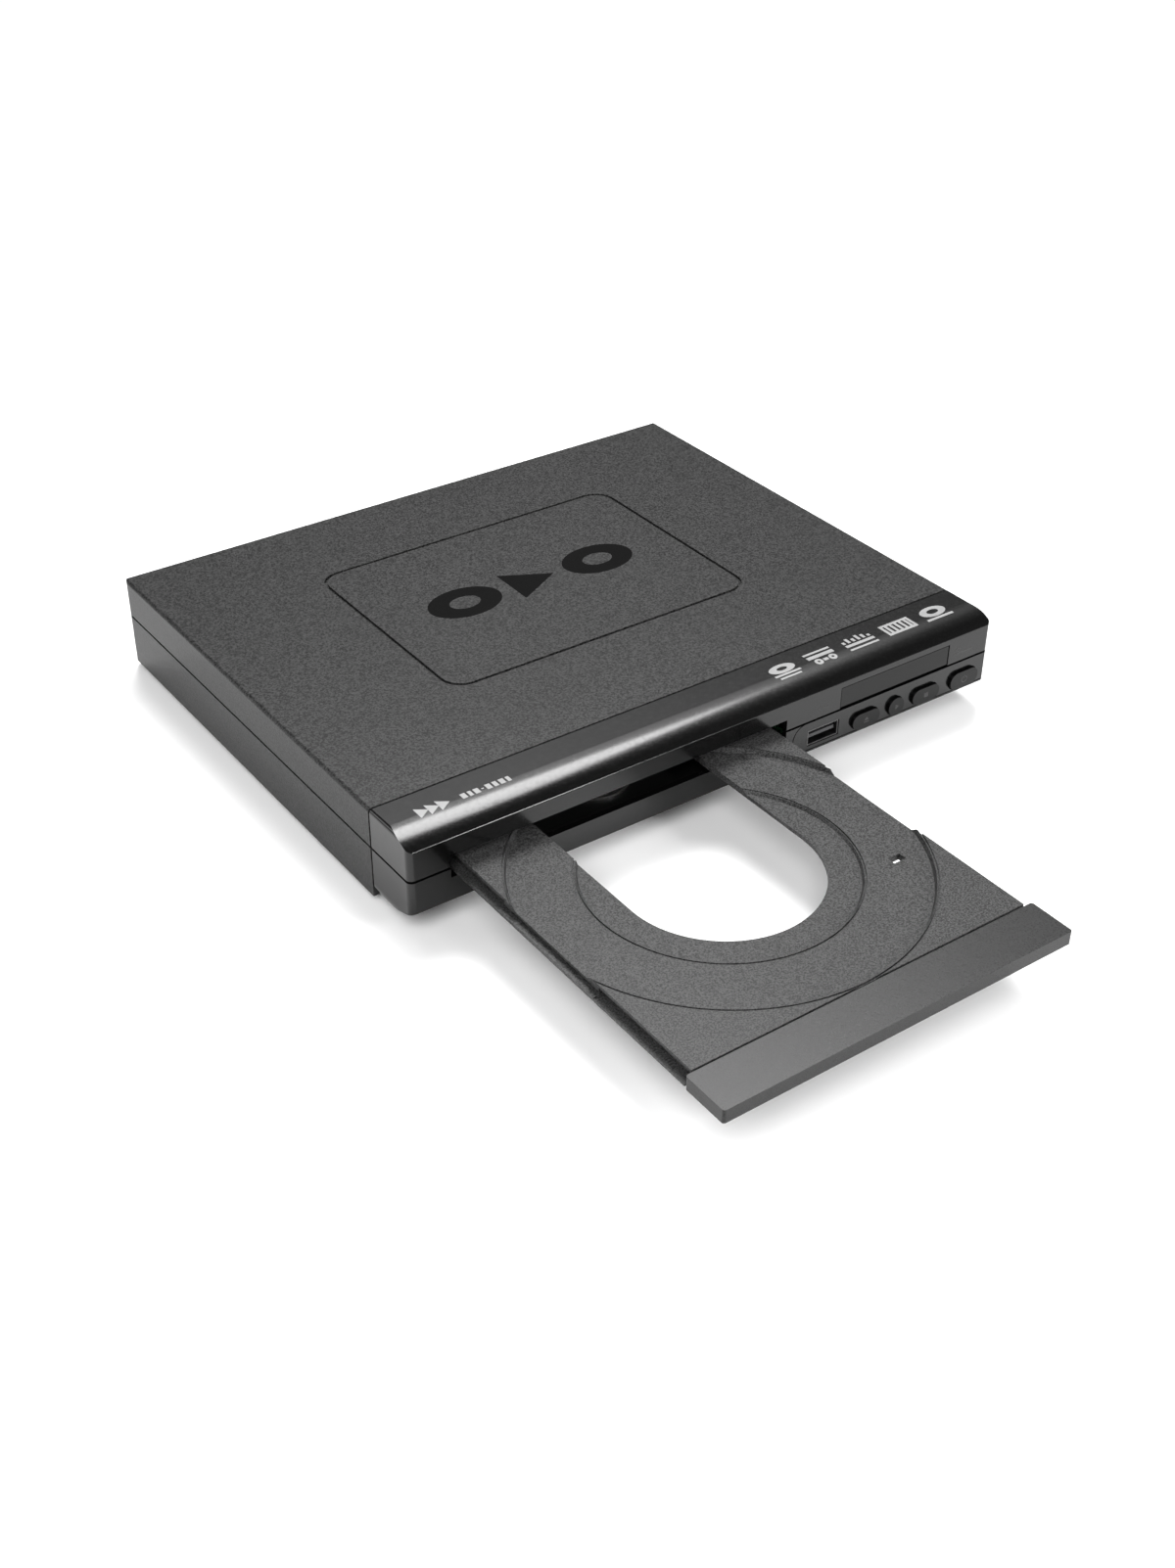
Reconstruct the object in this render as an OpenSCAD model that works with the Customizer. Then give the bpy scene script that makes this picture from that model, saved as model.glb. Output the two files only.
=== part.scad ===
// Compact disc player with a motor driven tray, shown with the tray run out.
// +Y points from the front to the back, +X to the viewer's right, +Z up.
// The origin is on the table, in the middle of the floor area that the open player covers.

/* [Case] */
// Width of the case
body_w = 225; // [215:1:240]
// Depth of the case from the front face to the rear edge
body_d = 186.5; // [184:0.5:200]
// Height of the case without its feet
body_h = 31.2; // [30.8:0.1:34]
// Height of the joint between top cover and bottom case, above the underside
split_h = 17.8; // [17.4:0.1:18.2]
// Depth of the front panel, from its face to its joint with the case
panel_d = 20.8; // [20.5:0.1:24]
// Wall of the two case halves
case_wall = 2.2; // [1.6:0.1:2.6]
// Height of the rubber feet
foot_h = 2.5; // [1.5:0.1:4]
// Radius of the rubber feet
foot_r = 7; // [5:0.5:9]
// Width of the shadow gap between outer case pieces
joint_gap = 0.8; // [0.4:0.05:0.85]

/* [Front panel] */
// Wall of the front panel
panel_wall = 2; // [1.6:0.1:2.4]
// Height of the lip at the top of the front face, above the underside
lip_h = 28; // [27:0.1:29]
// Height of the front face's lower edge above the underside
chin_h = 6.5; // [4:0.1:8]
// Lower edge of the tray slot above the underside
slot_low = 14.4; // [14:0.1:14.6]
// Upper edge of the tray slot above the underside
slot_top = 22; // [21.6:0.1:23]
// Distance from the tray slot to the display window
window_left = 22.1; // [20:0.1:24]
// Distance from the display window to the right side of the case
window_right = 18.6; // [17:0.1:22]
// Height of the display window
window_h = 7.7; // [6:0.1:8.2]
// Thickness of the display window
window_t = 1.2; // [0.8:0.1:1.6]

/* [Buttons] */
// How far the button caps stand out of the front face
cap_out = 1.1; // [0.8:0.1:1.6]
// Button travel
cap_travel = 0.4; // [0.2:0.05:0.5]
// Gap around each button cap
cap_gap = 0.25; // [0.15:0.05:0.4]
// Height of the button row above the underside
cap_row = 10.8; // [10.2:0.1:11.2]
// Radius of the ends of the two narrow pill buttons
pill_r = 2.8; // [2.2:0.1:3]
// Radius of the ends of the power button
power_r = 3.2; // [2.4:0.1:3.4]
// Radius of the round button
round_r = 3.3; // [2.4:0.1:3.4]
// Width of the memory stick socket's mouth
usb_w = 13.1; // [12.6:0.1:13.6]
// Height of the memory stick socket's mouth
usb_h = 5.7; // [5.4:0.1:6]
// Distance from the control strip's left end to the middle of the socket
usb_in = 12.5; // [11.5:0.1:14]
// Height of the socket's middle above the underside
usb_z = 11.5; // [11:0.1:12]

/* [Tray] */
// Distance from the left side of the case to the middle of the tray
tray_side = 75.5; // [74:0.5:78]
// Width of the tray's rim
tray_w = 115.8; // [114:0.2:117]
// How far the guide ledges stand out on each side of the rim
ledge_out = 2; // [1.6:0.1:2.2]
// How far the tray door stands out on each side of the rim
door_side = 2.4; // [2:0.1:2.7]
// Depth of the tray door
door_d = 15.6; // [14:0.1:18]
// Thickness of the tray door
door_t = 4.4; // [4:0.1:4.6]
// How far the door stands out in front when the tray is open
tray_out = 121.5; // [115:0.5:124]
// Height of the tray's rim above the underside
tray_h = 19.1; // [18.9:0.1:19.4]
// Radius of the upper edge of the recess for 120 mm discs
disc_r = 60.9; // [60.8:0.1:61.4]
// Radius of the upper edge of the recess for 80 mm discs
small_r = 40.8; // [40.7:0.1:41.4]
// How far the walls of both recesses slope inward
recess_slope = 0.6; // [0.4:0.1:0.7]
// Radius of the round end of the open slot in the tray
gap_r = 30.7; // [30:0.1:32]
// Depth of the larger recess
disc_deep = 1.4; // [1.2:0.1:1.6]
// Further depth of the smaller recess
small_deep = 0.9; // [0.6:0.1:1]
// Thickness of the tray floor under the smaller recess
tray_floor = 1.3; // [1.1:0.1:1.4]
// Distance from the tray's front face to the middle of the disc
disc_back = 77.5; // [77:0.1:80]
// Length of the tray behind the middle of the disc
tray_tail = 74; // [70:1:76]

/* [Disc drive] */
// Wall of the loader frame
loader_wall = 3.2; // [2.8:0.1:3.4]
// Length of the loader frame
loader_l = 149; // [147:1:151]
// Lift of the turntable when the disc is clamped
lift_h = 4; // [3:0.1:4.2]
// Radius of the turntable
table_r = 15; // [13:0.5:16]
// Radius of the hub that centres the disc
hub_r = 7.4; // [7.2:0.05:7.45]
// Radius of the clamper
clamp_r = 16; // [14:0.5:18]
// Travel of the pickup along its rods
pickup_run = 32; // [28:1:33]
// Radius of the pickup's guide rods
rod_r = 1.5; // [1.2:0.1:1.6]
// Number of teeth on the tray pinion
pinion_n = 16; // [14:1:18]
// Number of teeth on the large wheel under it
wheel_n = 36; // [34:1:38]
// Number of teeth on the pulley gear that drives the large wheel
drive_n = 12; // [11:1:13]
// Tooth module of the tray drive
gear_m = 0.8; // [0.7:0.05:0.85]

/* [Electronics] */
// Thickness of the circuit boards
board_t = 1.6; // [1:0.1:2]
// Height of the boards' underside above the case floor
board_lift = 4; // [3:0.5:6]
// Radius of the phono sockets' barrels
phono_r = 4.15; // [4.1:0.01:4.2]
// Length of the phono barrels outside the rear panel
phono_out = 8.5; // [8:0.1:9]
// Spacing of the phono sockets
phono_gap = 14; // [12:0.5:16]
// Radius of the pin holes in the phono sockets
phono_pin = 1.7; // [1.6:0.05:1.8]
// Thickness of the rear panel
rear_t = 1.5; // [1:0.1:2]
// Thickness of the flat ribbon cables
ribbon_t = 0.3; // [0.2:0.05:0.5]

/* [Hidden] */
$fn = 64;
eps = 0.01;

// Heights, from the table up
case_z = foot_h;
floor_z = case_z + case_wall;
split_z = case_z + split_h;
top_z = case_z + body_h;
roof_z = top_z - case_wall;
lip_z = case_z + lip_h;
chin_z = case_z + chin_h;
slot_z0 = case_z + slot_low;
slot_z1 = case_z + slot_top;
tray_z = case_z + tray_h;
disc_z = tray_z - disc_deep;
small_z = disc_z - small_deep;
tray_z0 = small_z - tray_floor;
door_z = tray_z - door_t;
board_z = floor_z + board_lift;
board_top = board_z + board_t;

// Depths, from the front face back
rear_inset = 1;
rear_y = body_d - rear_inset - rear_t;
disc_open = disc_back - tray_out;
tray_front = door_d - tray_out;
tray_end = disc_open + tray_tail;
front_y = (tray_out - body_d - phono_out + rear_inset) / 2;

// Widths
half_w = body_w / 2;
tray_x = tray_side - half_w;
inner_w = half_w - case_wall;
door_w = tray_w + 2 * door_side;
slot_w = door_w + 3;
strip_x0 = tray_x + 65;
usb_x = strip_x0 + usb_in;
window_x0 = tray_x + slot_w / 2 + window_left;
window_x1 = half_w - window_right;
window_w = window_x1 - window_x0;
window_x = (window_x0 + window_x1) / 2;
edge_r = 1.2;
corner_r = 3;

// Loader frame
loader_y = 3.4;
rail_gap = 0.3;
ledge_t = 1.1;
rim_x = tray_w / 2;
ledge_x = rim_x + ledge_out;
loader_x = ledge_x + rail_gap + loader_wall;
loader_w = 2 * loader_x;
loader_z = floor_z + 3;
rail_z = door_z - rail_gap;
deck_z = 10.2;
deck_t = 1.8;
deck_end = 42;
lip_top = door_z + ledge_t + 1.9;
hinge_y = loader_y + loader_l - 7;
hinge_z = 10.4;
pin_r = 2;
pin_gap = 0.06;

// Tray drive
slack = 0.09;
slant = 25;
rack_top = tray_z0 + 0.6;
rack_x = 6.9 - rim_x;
pinion_pr = gear_m * pinion_n / 2;
wheel_pr = gear_m * wheel_n / 2;
drive_pr = gear_m * drive_n / 2;
gear_y = loader_y + 21.2;
rack_pitch = PI * gear_m;
rack_gap = (floor(gear_y / rack_pitch) + 0.5) * rack_pitch;
pinion_turn = 180 + (gear_y - rack_gap) / (gear_m * pinion_n / 2) * 180 / PI;
pinion_x = rack_x + pinion_pr;
drive_x = pinion_x + wheel_pr + drive_pr;
wheel_z = deck_z + deck_t + 0.4;
wheel_t = 2.2;
pulley_z = wheel_z + wheel_t + 0.3;
pulley_t = 1.8;
pulley_r = 10.6;
small_pulley = 3.2;
motor_x = drive_x + 29;
motor_r = 11.5;
motor_z = floor_z + 2.1;
belt_t = 1.1;
stub_r = 1.2;

// Traverse and turntable
frame_z = 9.4;
frame_t = 2;
frame_x = 37;
frame_y0 = 49;
gap_x = 23;
gap_y0 = disc_back + 14.3;
gap_y1 = hinge_y - 2;
table_z = tray_z0 - 0.8;
table_t = 1.3;
hub_h = 2;
rotor_r = 12;
rod_x = 17.5;
rod_z = frame_z + 1.9;
rod_y0 = disc_back + 15.5;
rod_y1 = hinge_y - 2;
pickup_y = disc_back + 24;
pickup_l = 18;
bearing_l = 8;
cam_y = 44;
cam_t = 2.4;
cam_run = 12;
arm_hub = hinge_y - disc_back;
arm_cam = hinge_y - cam_y - cam_t / 2;
cam_lift = lift_h * arm_cam / arm_hub;
cam_pin = 1.2;
cam_z = frame_z + frame_t / 2;
cam_z0 = floor_z + 2.3;
cam_z1 = tray_z0 - 0.5;
cam_guides = [-15, 26];
feed_m = 0.5;
feed_n = 30;
feed_pinion = 12;
feed_motor = 10;
feed_pr = feed_m * feed_n / 2;
feed_pinion_pr = feed_m * feed_pinion / 2;
feed_motor_pr = feed_m * feed_motor / 2;
rack2_x = 26;
feed_x = rack2_x + feed_pinion_pr;
feed_y = pickup_y + 2;
feed_motor_y = feed_y + feed_pr + feed_motor_pr;
feed_z = frame_z + frame_t + 0.3;

// Clamper
clamp_z = tray_z + 1.2;
bridge_y = disc_back;
bridge_z = 26.3;
bridge_t = 1.6;
bridge_d = 26;
neck_r = 8;
cap_r = 12;
socket_r = 8.3;

// Boards
main_x0 = tray_x + loader_x + 4.6;
main_x1 = half_w - 4.5;
fit_x = (main_x1 - main_x0) / 77;
fit_r = min(1, fit_x);
main_y0 = 31;
main_y1 = 108;
power_y0 = 111;
power_x1 = main_x1 - 7;
power_y1 = rear_y - 1;
power_l = power_y1 - power_y0;
jack_x0 = tray_x - 63;
jack_x1 = tray_x + 61;
jack_y0 = loader_y + loader_l + 3;
front_x0 = usb_x + 9;
front_x1 = half_w - 3.5;
front_board_y = 9.2;
front_board_z = case_z + 7;
usb_board_z = case_z + usb_z - usb_h / 2 + 0.1 - board_t;
board_ribs = [usb_x - 7, usb_x + 5.4, front_x0 + 4, front_x0 + 30, front_x1 - 4];
usb_d = 14;
shell_t = 0.4;
inlet_x = half_w - 24.5;
inlet_z = 17.5;
phono_x = tray_x - 39;
phono_z = 15.5;
collar_y = rear_y + rear_t + 0.4;
phono_wall = 0.5;
flange = 0.9;
power_x = half_w - 10.9;
row_w = power_x - usb_x;
eject_x = usb_x + 0.288 * row_w;
play_x = usb_x + 0.5024 * row_w;
stop_x = usb_x + 0.7169 * row_w;
eject_w = 0.19 * row_w;
stop_w = 0.193 * row_w;
power_w = 0.203 * row_w;
play_r = round_r * row_w / 61.1;
screw_r = 1.5;
head_r = 2.8;

// Corner positions shared by posts and the screws in them
case_posts = [for (x = [-1, 1], y = [panel_d + 4, rear_y - 4]) [x * (inner_w - 3.8), y]];
loader_posts = [[-loader_x + 4, 50], [loader_x - 4, 50], [-loader_x + 4, 140], [loader_x - 4, 140]];
main_posts = [for (x = [main_x0 + 4, main_x1 - 4], y = [main_y0 + 4, main_y1 - 4]) [x, y]];
power_posts = [[main_x0 + 4, power_y0 + 4], [power_x1 - 4, power_y0 + 4], [main_x0 + 4, power_y1 - 6]];
jack_posts = [[jack_x0 + 4, jack_y0 + 4], [jack_x1 - 4, jack_y0 + 4]];
board_posts = concat(main_posts, power_posts, jack_posts);
damper_spots = [for (x = [-frame_x + 7, frame_x - 7]) [x, disc_back + 2]];
foot_spots = [for (x = [-1, 1], y = [panel_d + 12.5, rear_y - 16]) [x * (half_w - 20.5), y]];

// Puts a piece in place, measured from the middle of the front face
module at_front() {
    translate([0, front_y, 0]) children();
}

// Puts a piece in place, measured from the middle of the tray slot
module at_tray() {
    translate([tray_x, front_y, 0]) children();
}

// Plate with round corners, w wide and d deep from its corner, h high
module round_plate(w, d, h, r) {
    linear_extrude(h) round_flat(w, d, r);
}

// Rectangle with round corners, made of plain circles and squares
module round_flat(w, d, r) {
    translate([r, 0]) square([w - 2 * r, d]);
    translate([0, r]) square([w, d - 2 * r]);
    for (x = [r, w - r], y = [r, d - r]) translate([x, y]) circle(r, $fn = fn_tiny);
}

// Standing outline with half round ends, w wide in all, seen from the front
module pill(w, r, d) {
    rotate([90, 0, 0]) linear_extrude(d) pill_flat(w, r);
}

// Round or pill outline; a width of twice the radius gives a plain circle
module pill_flat(w, r) {
    side = w / 2 - r;
    if (side < eps) {
        circle(r, $fn = fn_wide);
    } else {
        for (s = [-1, 1]) translate([s * side, 0]) circle(r, $fn = fn_mid);
        square([2 * side, 2 * r], center = true);
    }
}

// Involute of a circle of radius b, at t degrees
function involute(b, t) = b * [cos(t) + t * PI / 180 * sin(t), sin(t) - t * PI / 180 * cos(t)];
function turned(p, a) = [p[0] * cos(a) - p[1] * sin(a), p[0] * sin(a) + p[1] * cos(a)];
function reach(b, r) = r <= b ? 0 : sqrt(r * r / b / b - 1) * 180 / PI;

// One tooth flank of a gear, from its root circle to its tip circle
function flank(n, m, side) = let (
    pr = m * n / 2,
    b = pr * cos(slant),
    tip = pr + 0.8 * m,
    foot = pr - 1.05 * m,
    start = reach(b, foot),
    stop = reach(b, tip),
    skew = (tan(slant) - slant * PI / 180) * 180 / PI,
    half = 90 / n - slack / 2 / pr * 180 / PI)
    concat(foot < b ? [turned([foot, 0], -side * (half + skew))] : [],
        [for (i = [0:4]) let (p = involute(b, start + (stop - start) * i / 4))
            turned([p[0], side * p[1]], -side * (half + skew))]);

function backwards(list) = [for (i = [len(list) - 1:-1:0]) list[i]];

// Flat outline of a spur gear with n teeth of module m, one tooth centred on +X before the turn
module gear_flat(n, m, turn) {
    points = [for (k = [0:n - 1]) let (a = turn + 360 * k / n)
        each [for (p = concat(flank(n, m, 1), backwards(flank(n, m, -1)))) turned(p, a)]];
    polygon(points);
}

// Flat outline of a rack with its pitch line on the Y axis, its teeth towards +X and a tooth at zero
module rack_flat(y0, y1, m, back) {
    pitch = PI * m;
    first = ceil((y0 + pitch / 2) / pitch);
    last = floor((y1 - pitch / 2) / pitch);
    low = pitch / 4 - slack / 2 + 1.05 * m * tan(slant);
    high = pitch / 4 - slack / 2 - 0.8 * m * tan(slant);
    polygon(concat([[-back, y0], [-1.05 * m, y0]],
        [for (k = [first:last]) each [[-1.05 * m, k * pitch - low], [0.8 * m, k * pitch - high],
            [0.8 * m, k * pitch + high], [-1.05 * m, k * pitch + low]]],
        [[-1.05 * m, y1], [-back, y1]]));
}

roll_r = 20;
roll_top = top_z + 0.1;
lip_r = 0.5;
lip_steps = 5;
roll_y = sqrt(pow(roll_r, 2) - pow(roll_r - roll_top + lip_z, 2));
case_y = panel_d + joint_gap;
plate_gap = 0.2;
rear_z0 = floor_z + 2.5;
rear_z1 = roof_z - 2.5;
rear_x = half_w - 7;
strip_x1 = half_w - 1.6;
strip_z0 = chin_z + 0.9;
strip_z1 = split_z - joint_gap / 2;
strip_t = 1.4;
window_z = split_z + 0.4 + window_h / 2;
row_z = case_z + cap_row;
switch_y = 5.9;
cap_back = 4;
drip = 1.8;
groove_w = 1.1;
groove_d = 0.8;
seam = 0.35;
thread_play = 0.03;
hole_play = 0.1;
fn_tiny = 24;
fn_small = 32;
fn_mid = 48;
fn_wide = 64;
fn_full = 96;
door_gap = 0.35;
corner_low = 5;
badge = [119, 87.5];
badge_x = 0.5;
badge_y = 105.3;

// Plan outline of the case behind the front panel, with round rear corners
module case_plan(inset) {
    x = half_w - inset;
    y1 = body_d - inset;
    r = corner_r - min(inset, 2);
    translate([-x, case_y]) square([2 * x, y1 - case_y - r]);
    translate([r - x, y1 - r - eps]) square([2 * (x - r), r + eps]);
    for (s = [-1, 1]) translate([s * (x - r), y1 - r]) circle(r, $fn = fn_small);
}

// Cross outline of the top cover, with round top edges
module cover_front(inset) {
    x = half_w - inset;
    z = top_z - inset;
    translate([-x, 0]) square([2 * x, z - edge_r]);
    translate([edge_r - x, 0]) square([2 * (x - edge_r), z]);
    for (s = [-1, 1]) translate([s * (x - edge_r), z - edge_r]) circle(edge_r, $fn = fn_tiny);
}

// Side outline of the top cover, with a round rear top edge
module cover_side() {
    square([body_d - edge_r, top_z]);
    square([body_d, top_z - edge_r]);
    translate([body_d - edge_r, top_z - edge_r]) circle(edge_r, $fn = fn_tiny);
}

module upright(d) {
    translate([0, d, 0]) rotate([90, 0, 0]) linear_extrude(d) children();
}

module sideways(x0, x1) {
    translate([x0, 0, 0]) rotate([90, 0, 90]) linear_extrude(x1 - x0) children();
}

// Lower half of the case, with posts for the boards, the loader and the case screws
module bottom_case() {
    color("dimgray") at_front() difference() {
        union() {
            difference() {
                translate([0, 0, case_z]) linear_extrude(split_h - joint_gap / 2) case_plan(0);
                translate([0, -eps, floor_z]) linear_extrude(split_h) case_plan(case_wall);
                translate([-inner_w, case_y - 1, floor_z]) cube([2 * inner_w, case_wall + 4, split_h]);
            }
            for (p = case_posts) translate([p[0], p[1], floor_z - 1])
                cylinder(h = split_z - floor_z, r = 3.4, $fn = fn_small);
            for (p = board_posts) translate([p[0], p[1], floor_z - 1])
                cylinder(h = board_lift + 1, r = 2.6, $fn = fn_small);
            for (p = loader_posts) translate([tray_x + p[0], p[1], floor_z - 1])
                cylinder(h = 4, r = 3.2, $fn = fn_small);
        }
        translate([-rear_x, body_d - case_wall - 1, rear_z0]) cube([2 * rear_x, case_wall + 2, split_h]);
        for (p = case_posts) translate([p[0], p[1], case_z - 1]) {
            cylinder(h = split_h + 2, r = screw_r + 0.2, $fn = fn_small);
            cylinder(h = 4, r = head_r + 0.3, $fn = fn_small);
        }
        for (p = board_posts) translate([p[0], p[1], floor_z])
            cylinder(h = board_lift + 1, r = screw_r + thread_play, $fn = fn_tiny);
        for (p = loader_posts) translate([tray_x + p[0], p[1], floor_z])
            cylinder(h = 4, r = screw_r + thread_play, $fn = fn_tiny);
        for (x = [main_x0 + 13:7:half_w - 33], y = [44, 134]) translate([x, y, case_z - 1])
            cube([2.4, 30, case_wall + 2]);
    }
}

// Upper half of the case, with the grooved panel line in its top
module top_cover() {
    post_z0 = split_z + 0.2;
    color("gray") at_front() {
        difference() {
            union() {
                difference() {
                    intersection() {
                        translate([0, 0, split_z + joint_gap / 2]) linear_extrude(body_h) case_plan(0);
                        upright(body_d + 1) cover_front(0);
                        sideways(-half_w, half_w) cover_side();
                    }
                    intersection() {
                        translate([0, -eps, split_z - 1]) linear_extrude(roof_z - split_z + 1)
                            case_plan(case_wall);
                        upright(body_d) cover_front(case_wall);
                    }
                    translate([-inner_w, case_y - 1, split_z - 1])
                        cube([2 * inner_w, case_wall + 4, roof_z - split_z + 1]);
                }
                for (p = case_posts) translate([p[0], p[1], post_z0])
                    cylinder(h = roof_z - post_z0 + 1, r = 3.4, $fn = fn_small);
            }
            for (p = case_posts) translate([p[0], p[1], post_z0 - 1])
                cylinder(h = 9, r = screw_r + thread_play, $fn = fn_small);
            translate([-rear_x, body_d - case_wall - 1, split_z - 1])
                cube([2 * rear_x, case_wall + 2, rear_z1 - split_z + 1]);
            translate([badge_x - badge[0] / 2, badge_y - badge[1] / 2, top_z - groove_d])
                linear_extrude(1) difference() {
                round_flat(badge[0], badge[1], 8);
                translate([groove_w, groove_w])
                    round_flat(badge[0] - 2 * groove_w, badge[1] - 2 * groove_w, 7.1);
            }
        }
    }
}

// Side outline of the upper front panel with its round lip, smaller by a wall where inset is set
module roll_side(inset, low) {
    mid_z = roll_top - roll_r;
    r = roll_r - inset;
    mid_y = inset + lip_r;
    lip_mid = mid_z + sqrt(pow(r - lip_r, 2) - pow(roll_y - mid_y, 2));
    turn = atan2(lip_mid - mid_z, roll_y - mid_y);
    y1 = mid_y - lip_r * cos(turn);
    far = panel_d + (inset > 0 ? 1 : 0);
    lip = [for (i = [0:lip_steps]) let (a = turn * i / lip_steps) [mid_y - lip_r * cos(a), lip_mid + lip_r * sin(a)]];
    polygon(concat([[inset, low]], lip, [[mid_y + lip_r, low]]));
    translate([y1, low]) square([far - y1, lip_mid - low]);
    intersection() {
        translate([roll_y, mid_z]) circle(r, $fn = 160);
        translate([y1, lip_mid - 1]) square([roll_y - y1 + eps, roll_top - lip_mid + 2]);
    }
    translate([roll_y, lip_mid - eps]) square([far - roll_y, roll_top - inset - lip_mid + eps]);
}

// Side outline of the lower front panel with its sloping underside
module chin_side(inset) {
    polygon([[inset, chin_z + inset * 0.9], [17, case_z + 0.6 + inset], [panel_d + (inset > 0 ? 1 : 0), case_z + inset],
        [panel_d + (inset > 0 ? 1 : 0), split_z + (inset > 0 ? 1 : 0)], [inset, split_z + (inset > 0 ? 1 : 0)]]);
}

// Plan outline of the front panel with its rounded upright edges
module panel_plan() {
    r = 2;
    translate([-half_w, r]) square([body_w, panel_d - r]);
    translate([r - half_w, 0]) square([body_w - 2 * r, panel_d]);
    for (s = [-1, 1]) translate([s * (half_w - r), r]) circle(r, $fn = fn_small);
}

// Upper front panel, rolled over to the top, with the tray slot and the window seat
module front_panel() {
    color("black") at_front() difference() {
        union() {
            difference() {
                intersection() {
                    sideways(-half_w, half_w) roll_side(0, split_z + joint_gap / 2);
                    linear_extrude(top_z + 1) panel_plan();
                    upright(body_d) translate([-half_w, case_z])
                        round_flat(body_w, roll_top - case_z, edge_r);
                }
                sideways(-inner_w, inner_w) roll_side(panel_wall, split_z - 1);
            }
            translate([tray_x - slot_w / 2 - 3, panel_wall - eps, slot_z1 - drip - 1])
                cube([slot_w + 6, 1.2, drip + 3]);
        }
        translate([tray_x - slot_w / 2, -1, split_z - 1])
            cube([slot_w, panel_wall + 1 + eps, slot_z1 - split_z + 1]);
        translate([tray_x - slot_w / 2, -1, split_z - 1])
            cube([slot_w, panel_wall + 4, slot_z1 - drip - split_z + 1]);
        translate([window_x, window_t + 0.1, window_z]) rotate([90, 0, 0])
            translate([-window_w / 2, -window_h / 2, 0]) cube([window_w, window_h, 9]);
        translate([window_x - window_w / 2 + 1.2, -1, window_z - window_h / 2 + 1])
            cube([window_w - 2.4, 6, window_h - 2]);
    }
}

// Lower front panel with the seat of the control strip
module lower_panel() {
    color("black") at_front() difference() {
        intersection() {
            union() {
                difference() {
                    sideways(-half_w, half_w) chin_side(0);
                    sideways(-inner_w, inner_w) chin_side(panel_wall);
                    translate([-body_w, 0, split_z - joint_gap / 2]) cube([2 * body_w, body_d, 9]);
                }
                for (x = board_ribs) intersection() {
                    sideways(x, x + 1.6) chin_side(0.6);
                    translate([-body_w, 7, 0])
                        cube([2 * body_w, 13, x < front_x0 ? usb_board_z : front_board_z]);
                }
            }
            translate([0, 0, -1]) linear_extrude(top_z + 1) panel_plan();
            upright(body_d) translate([-half_w, case_z]) round_flat(body_w, body_h, corner_low);
        }
        translate([tray_x - slot_w / 2, -1, slot_z0]) cube([slot_w, panel_wall + 4, split_h]);
        translate([0, strip_t, 0]) rotate([90, 0, 0]) linear_extrude(9) strip_flat(seam);
        translate([strip_x0 + 6, -9 + strip_t, strip_z1 - 1]) cube([strip_x1 + seam - strip_x0 - 6, 9, 2]);
        translate([usb_x - usb_w / 2 - 1, -1, case_z + usb_z - usb_h / 2 - 1])
            cube([usb_w + 2, 9, usb_h + 2]);
        translate([0, 3, row_z]) caps(cap_gap + 0.15, 4);
        translate([0, 3.8, row_z]) caps(flange + 0.3, 1.8);
    }
}

// Outline of the control strip, grown by g, with a half round left end
module strip_flat(g) {
    r = (strip_z1 - strip_z0) / 2;
    translate([strip_x0 + r, strip_z0 + r]) circle(r + g, $fn = fn_wide);
    translate([strip_x0 + r, strip_z0 - g]) square([strip_x1 - strip_x0 - r + g, 2 * (r + g)]);
}

// All four button outlines, grown by g, as plugs that reach forward by d
module caps(g, d) {
    for (b = [[eject_x, eject_w, pill_r], [play_x, 2 * play_r, play_r], [stop_x, stop_w, pill_r], [power_x, power_w, power_r]])
        translate([b[0], 0, 0]) pill(b[1] + 2 * g, b[2] + g, d);
}

module control_strip() {
    color("black") at_front() difference() {
        translate([0, strip_t - 0.05, 0]) rotate([90, 0, 0]) linear_extrude(strip_t - 0.05) strip_flat(0);
        translate([usb_x - usb_w / 2, -1, case_z + usb_z - usb_h / 2]) cube([usb_w, 9, usb_h]);
        translate([0, 3, row_z]) caps(cap_gap, 4);
    }
}

module display_window() {
    color("darkslategray") at_front()
        translate([window_x0 + seam, 0.15, window_z - window_h / 2 + seam])
            cube([window_w - 2 * seam, window_t - 0.1, window_h - 2 * seam]);
}

// Button cap with a flange behind the panel and a stem for its switch
module button(x, w, r) {
    color("black") at_front() translate([x, 0, row_z]) {
        translate([0, panel_wall + 0.9, 0]) pill(w, r, panel_wall + 0.9 + cap_out);
        translate([0, panel_wall + 0.9, 0]) pill(w + 2 * flange, r + flange, 0.8);
        translate([0, cap_back, 0]) rotate([90, 0, 0]) cylinder(h = 1.5, r = 1.4, $fn = fn_small);
    }
}

module eject_button() { button(eject_x, eject_w, pill_r); }
module play_button() { button(play_x, 2 * play_r, play_r); }
module stop_button() { button(stop_x, stop_w, pill_r); }
module power_button() { button(power_x, power_w, power_r); }

// Metal shell of the memory stick socket
module usb_shell() {
    color("silver") at_front() translate([usb_x, 0.3, case_z + usb_z]) rotate([-90, 0, 0]) difference() {
        translate([-usb_w / 2 + 0.1, -usb_h / 2 + 0.1, 0]) cube([usb_w - 0.2, usb_h - 0.2, usb_d]);
        translate([-usb_w / 2 + 0.1 + shell_t, -usb_h / 2 + 0.1 + shell_t, -1])
            cube([usb_w - 0.2 - 2 * shell_t, usb_h - 0.2 - 2 * shell_t, usb_d]);
    }
}

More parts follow.
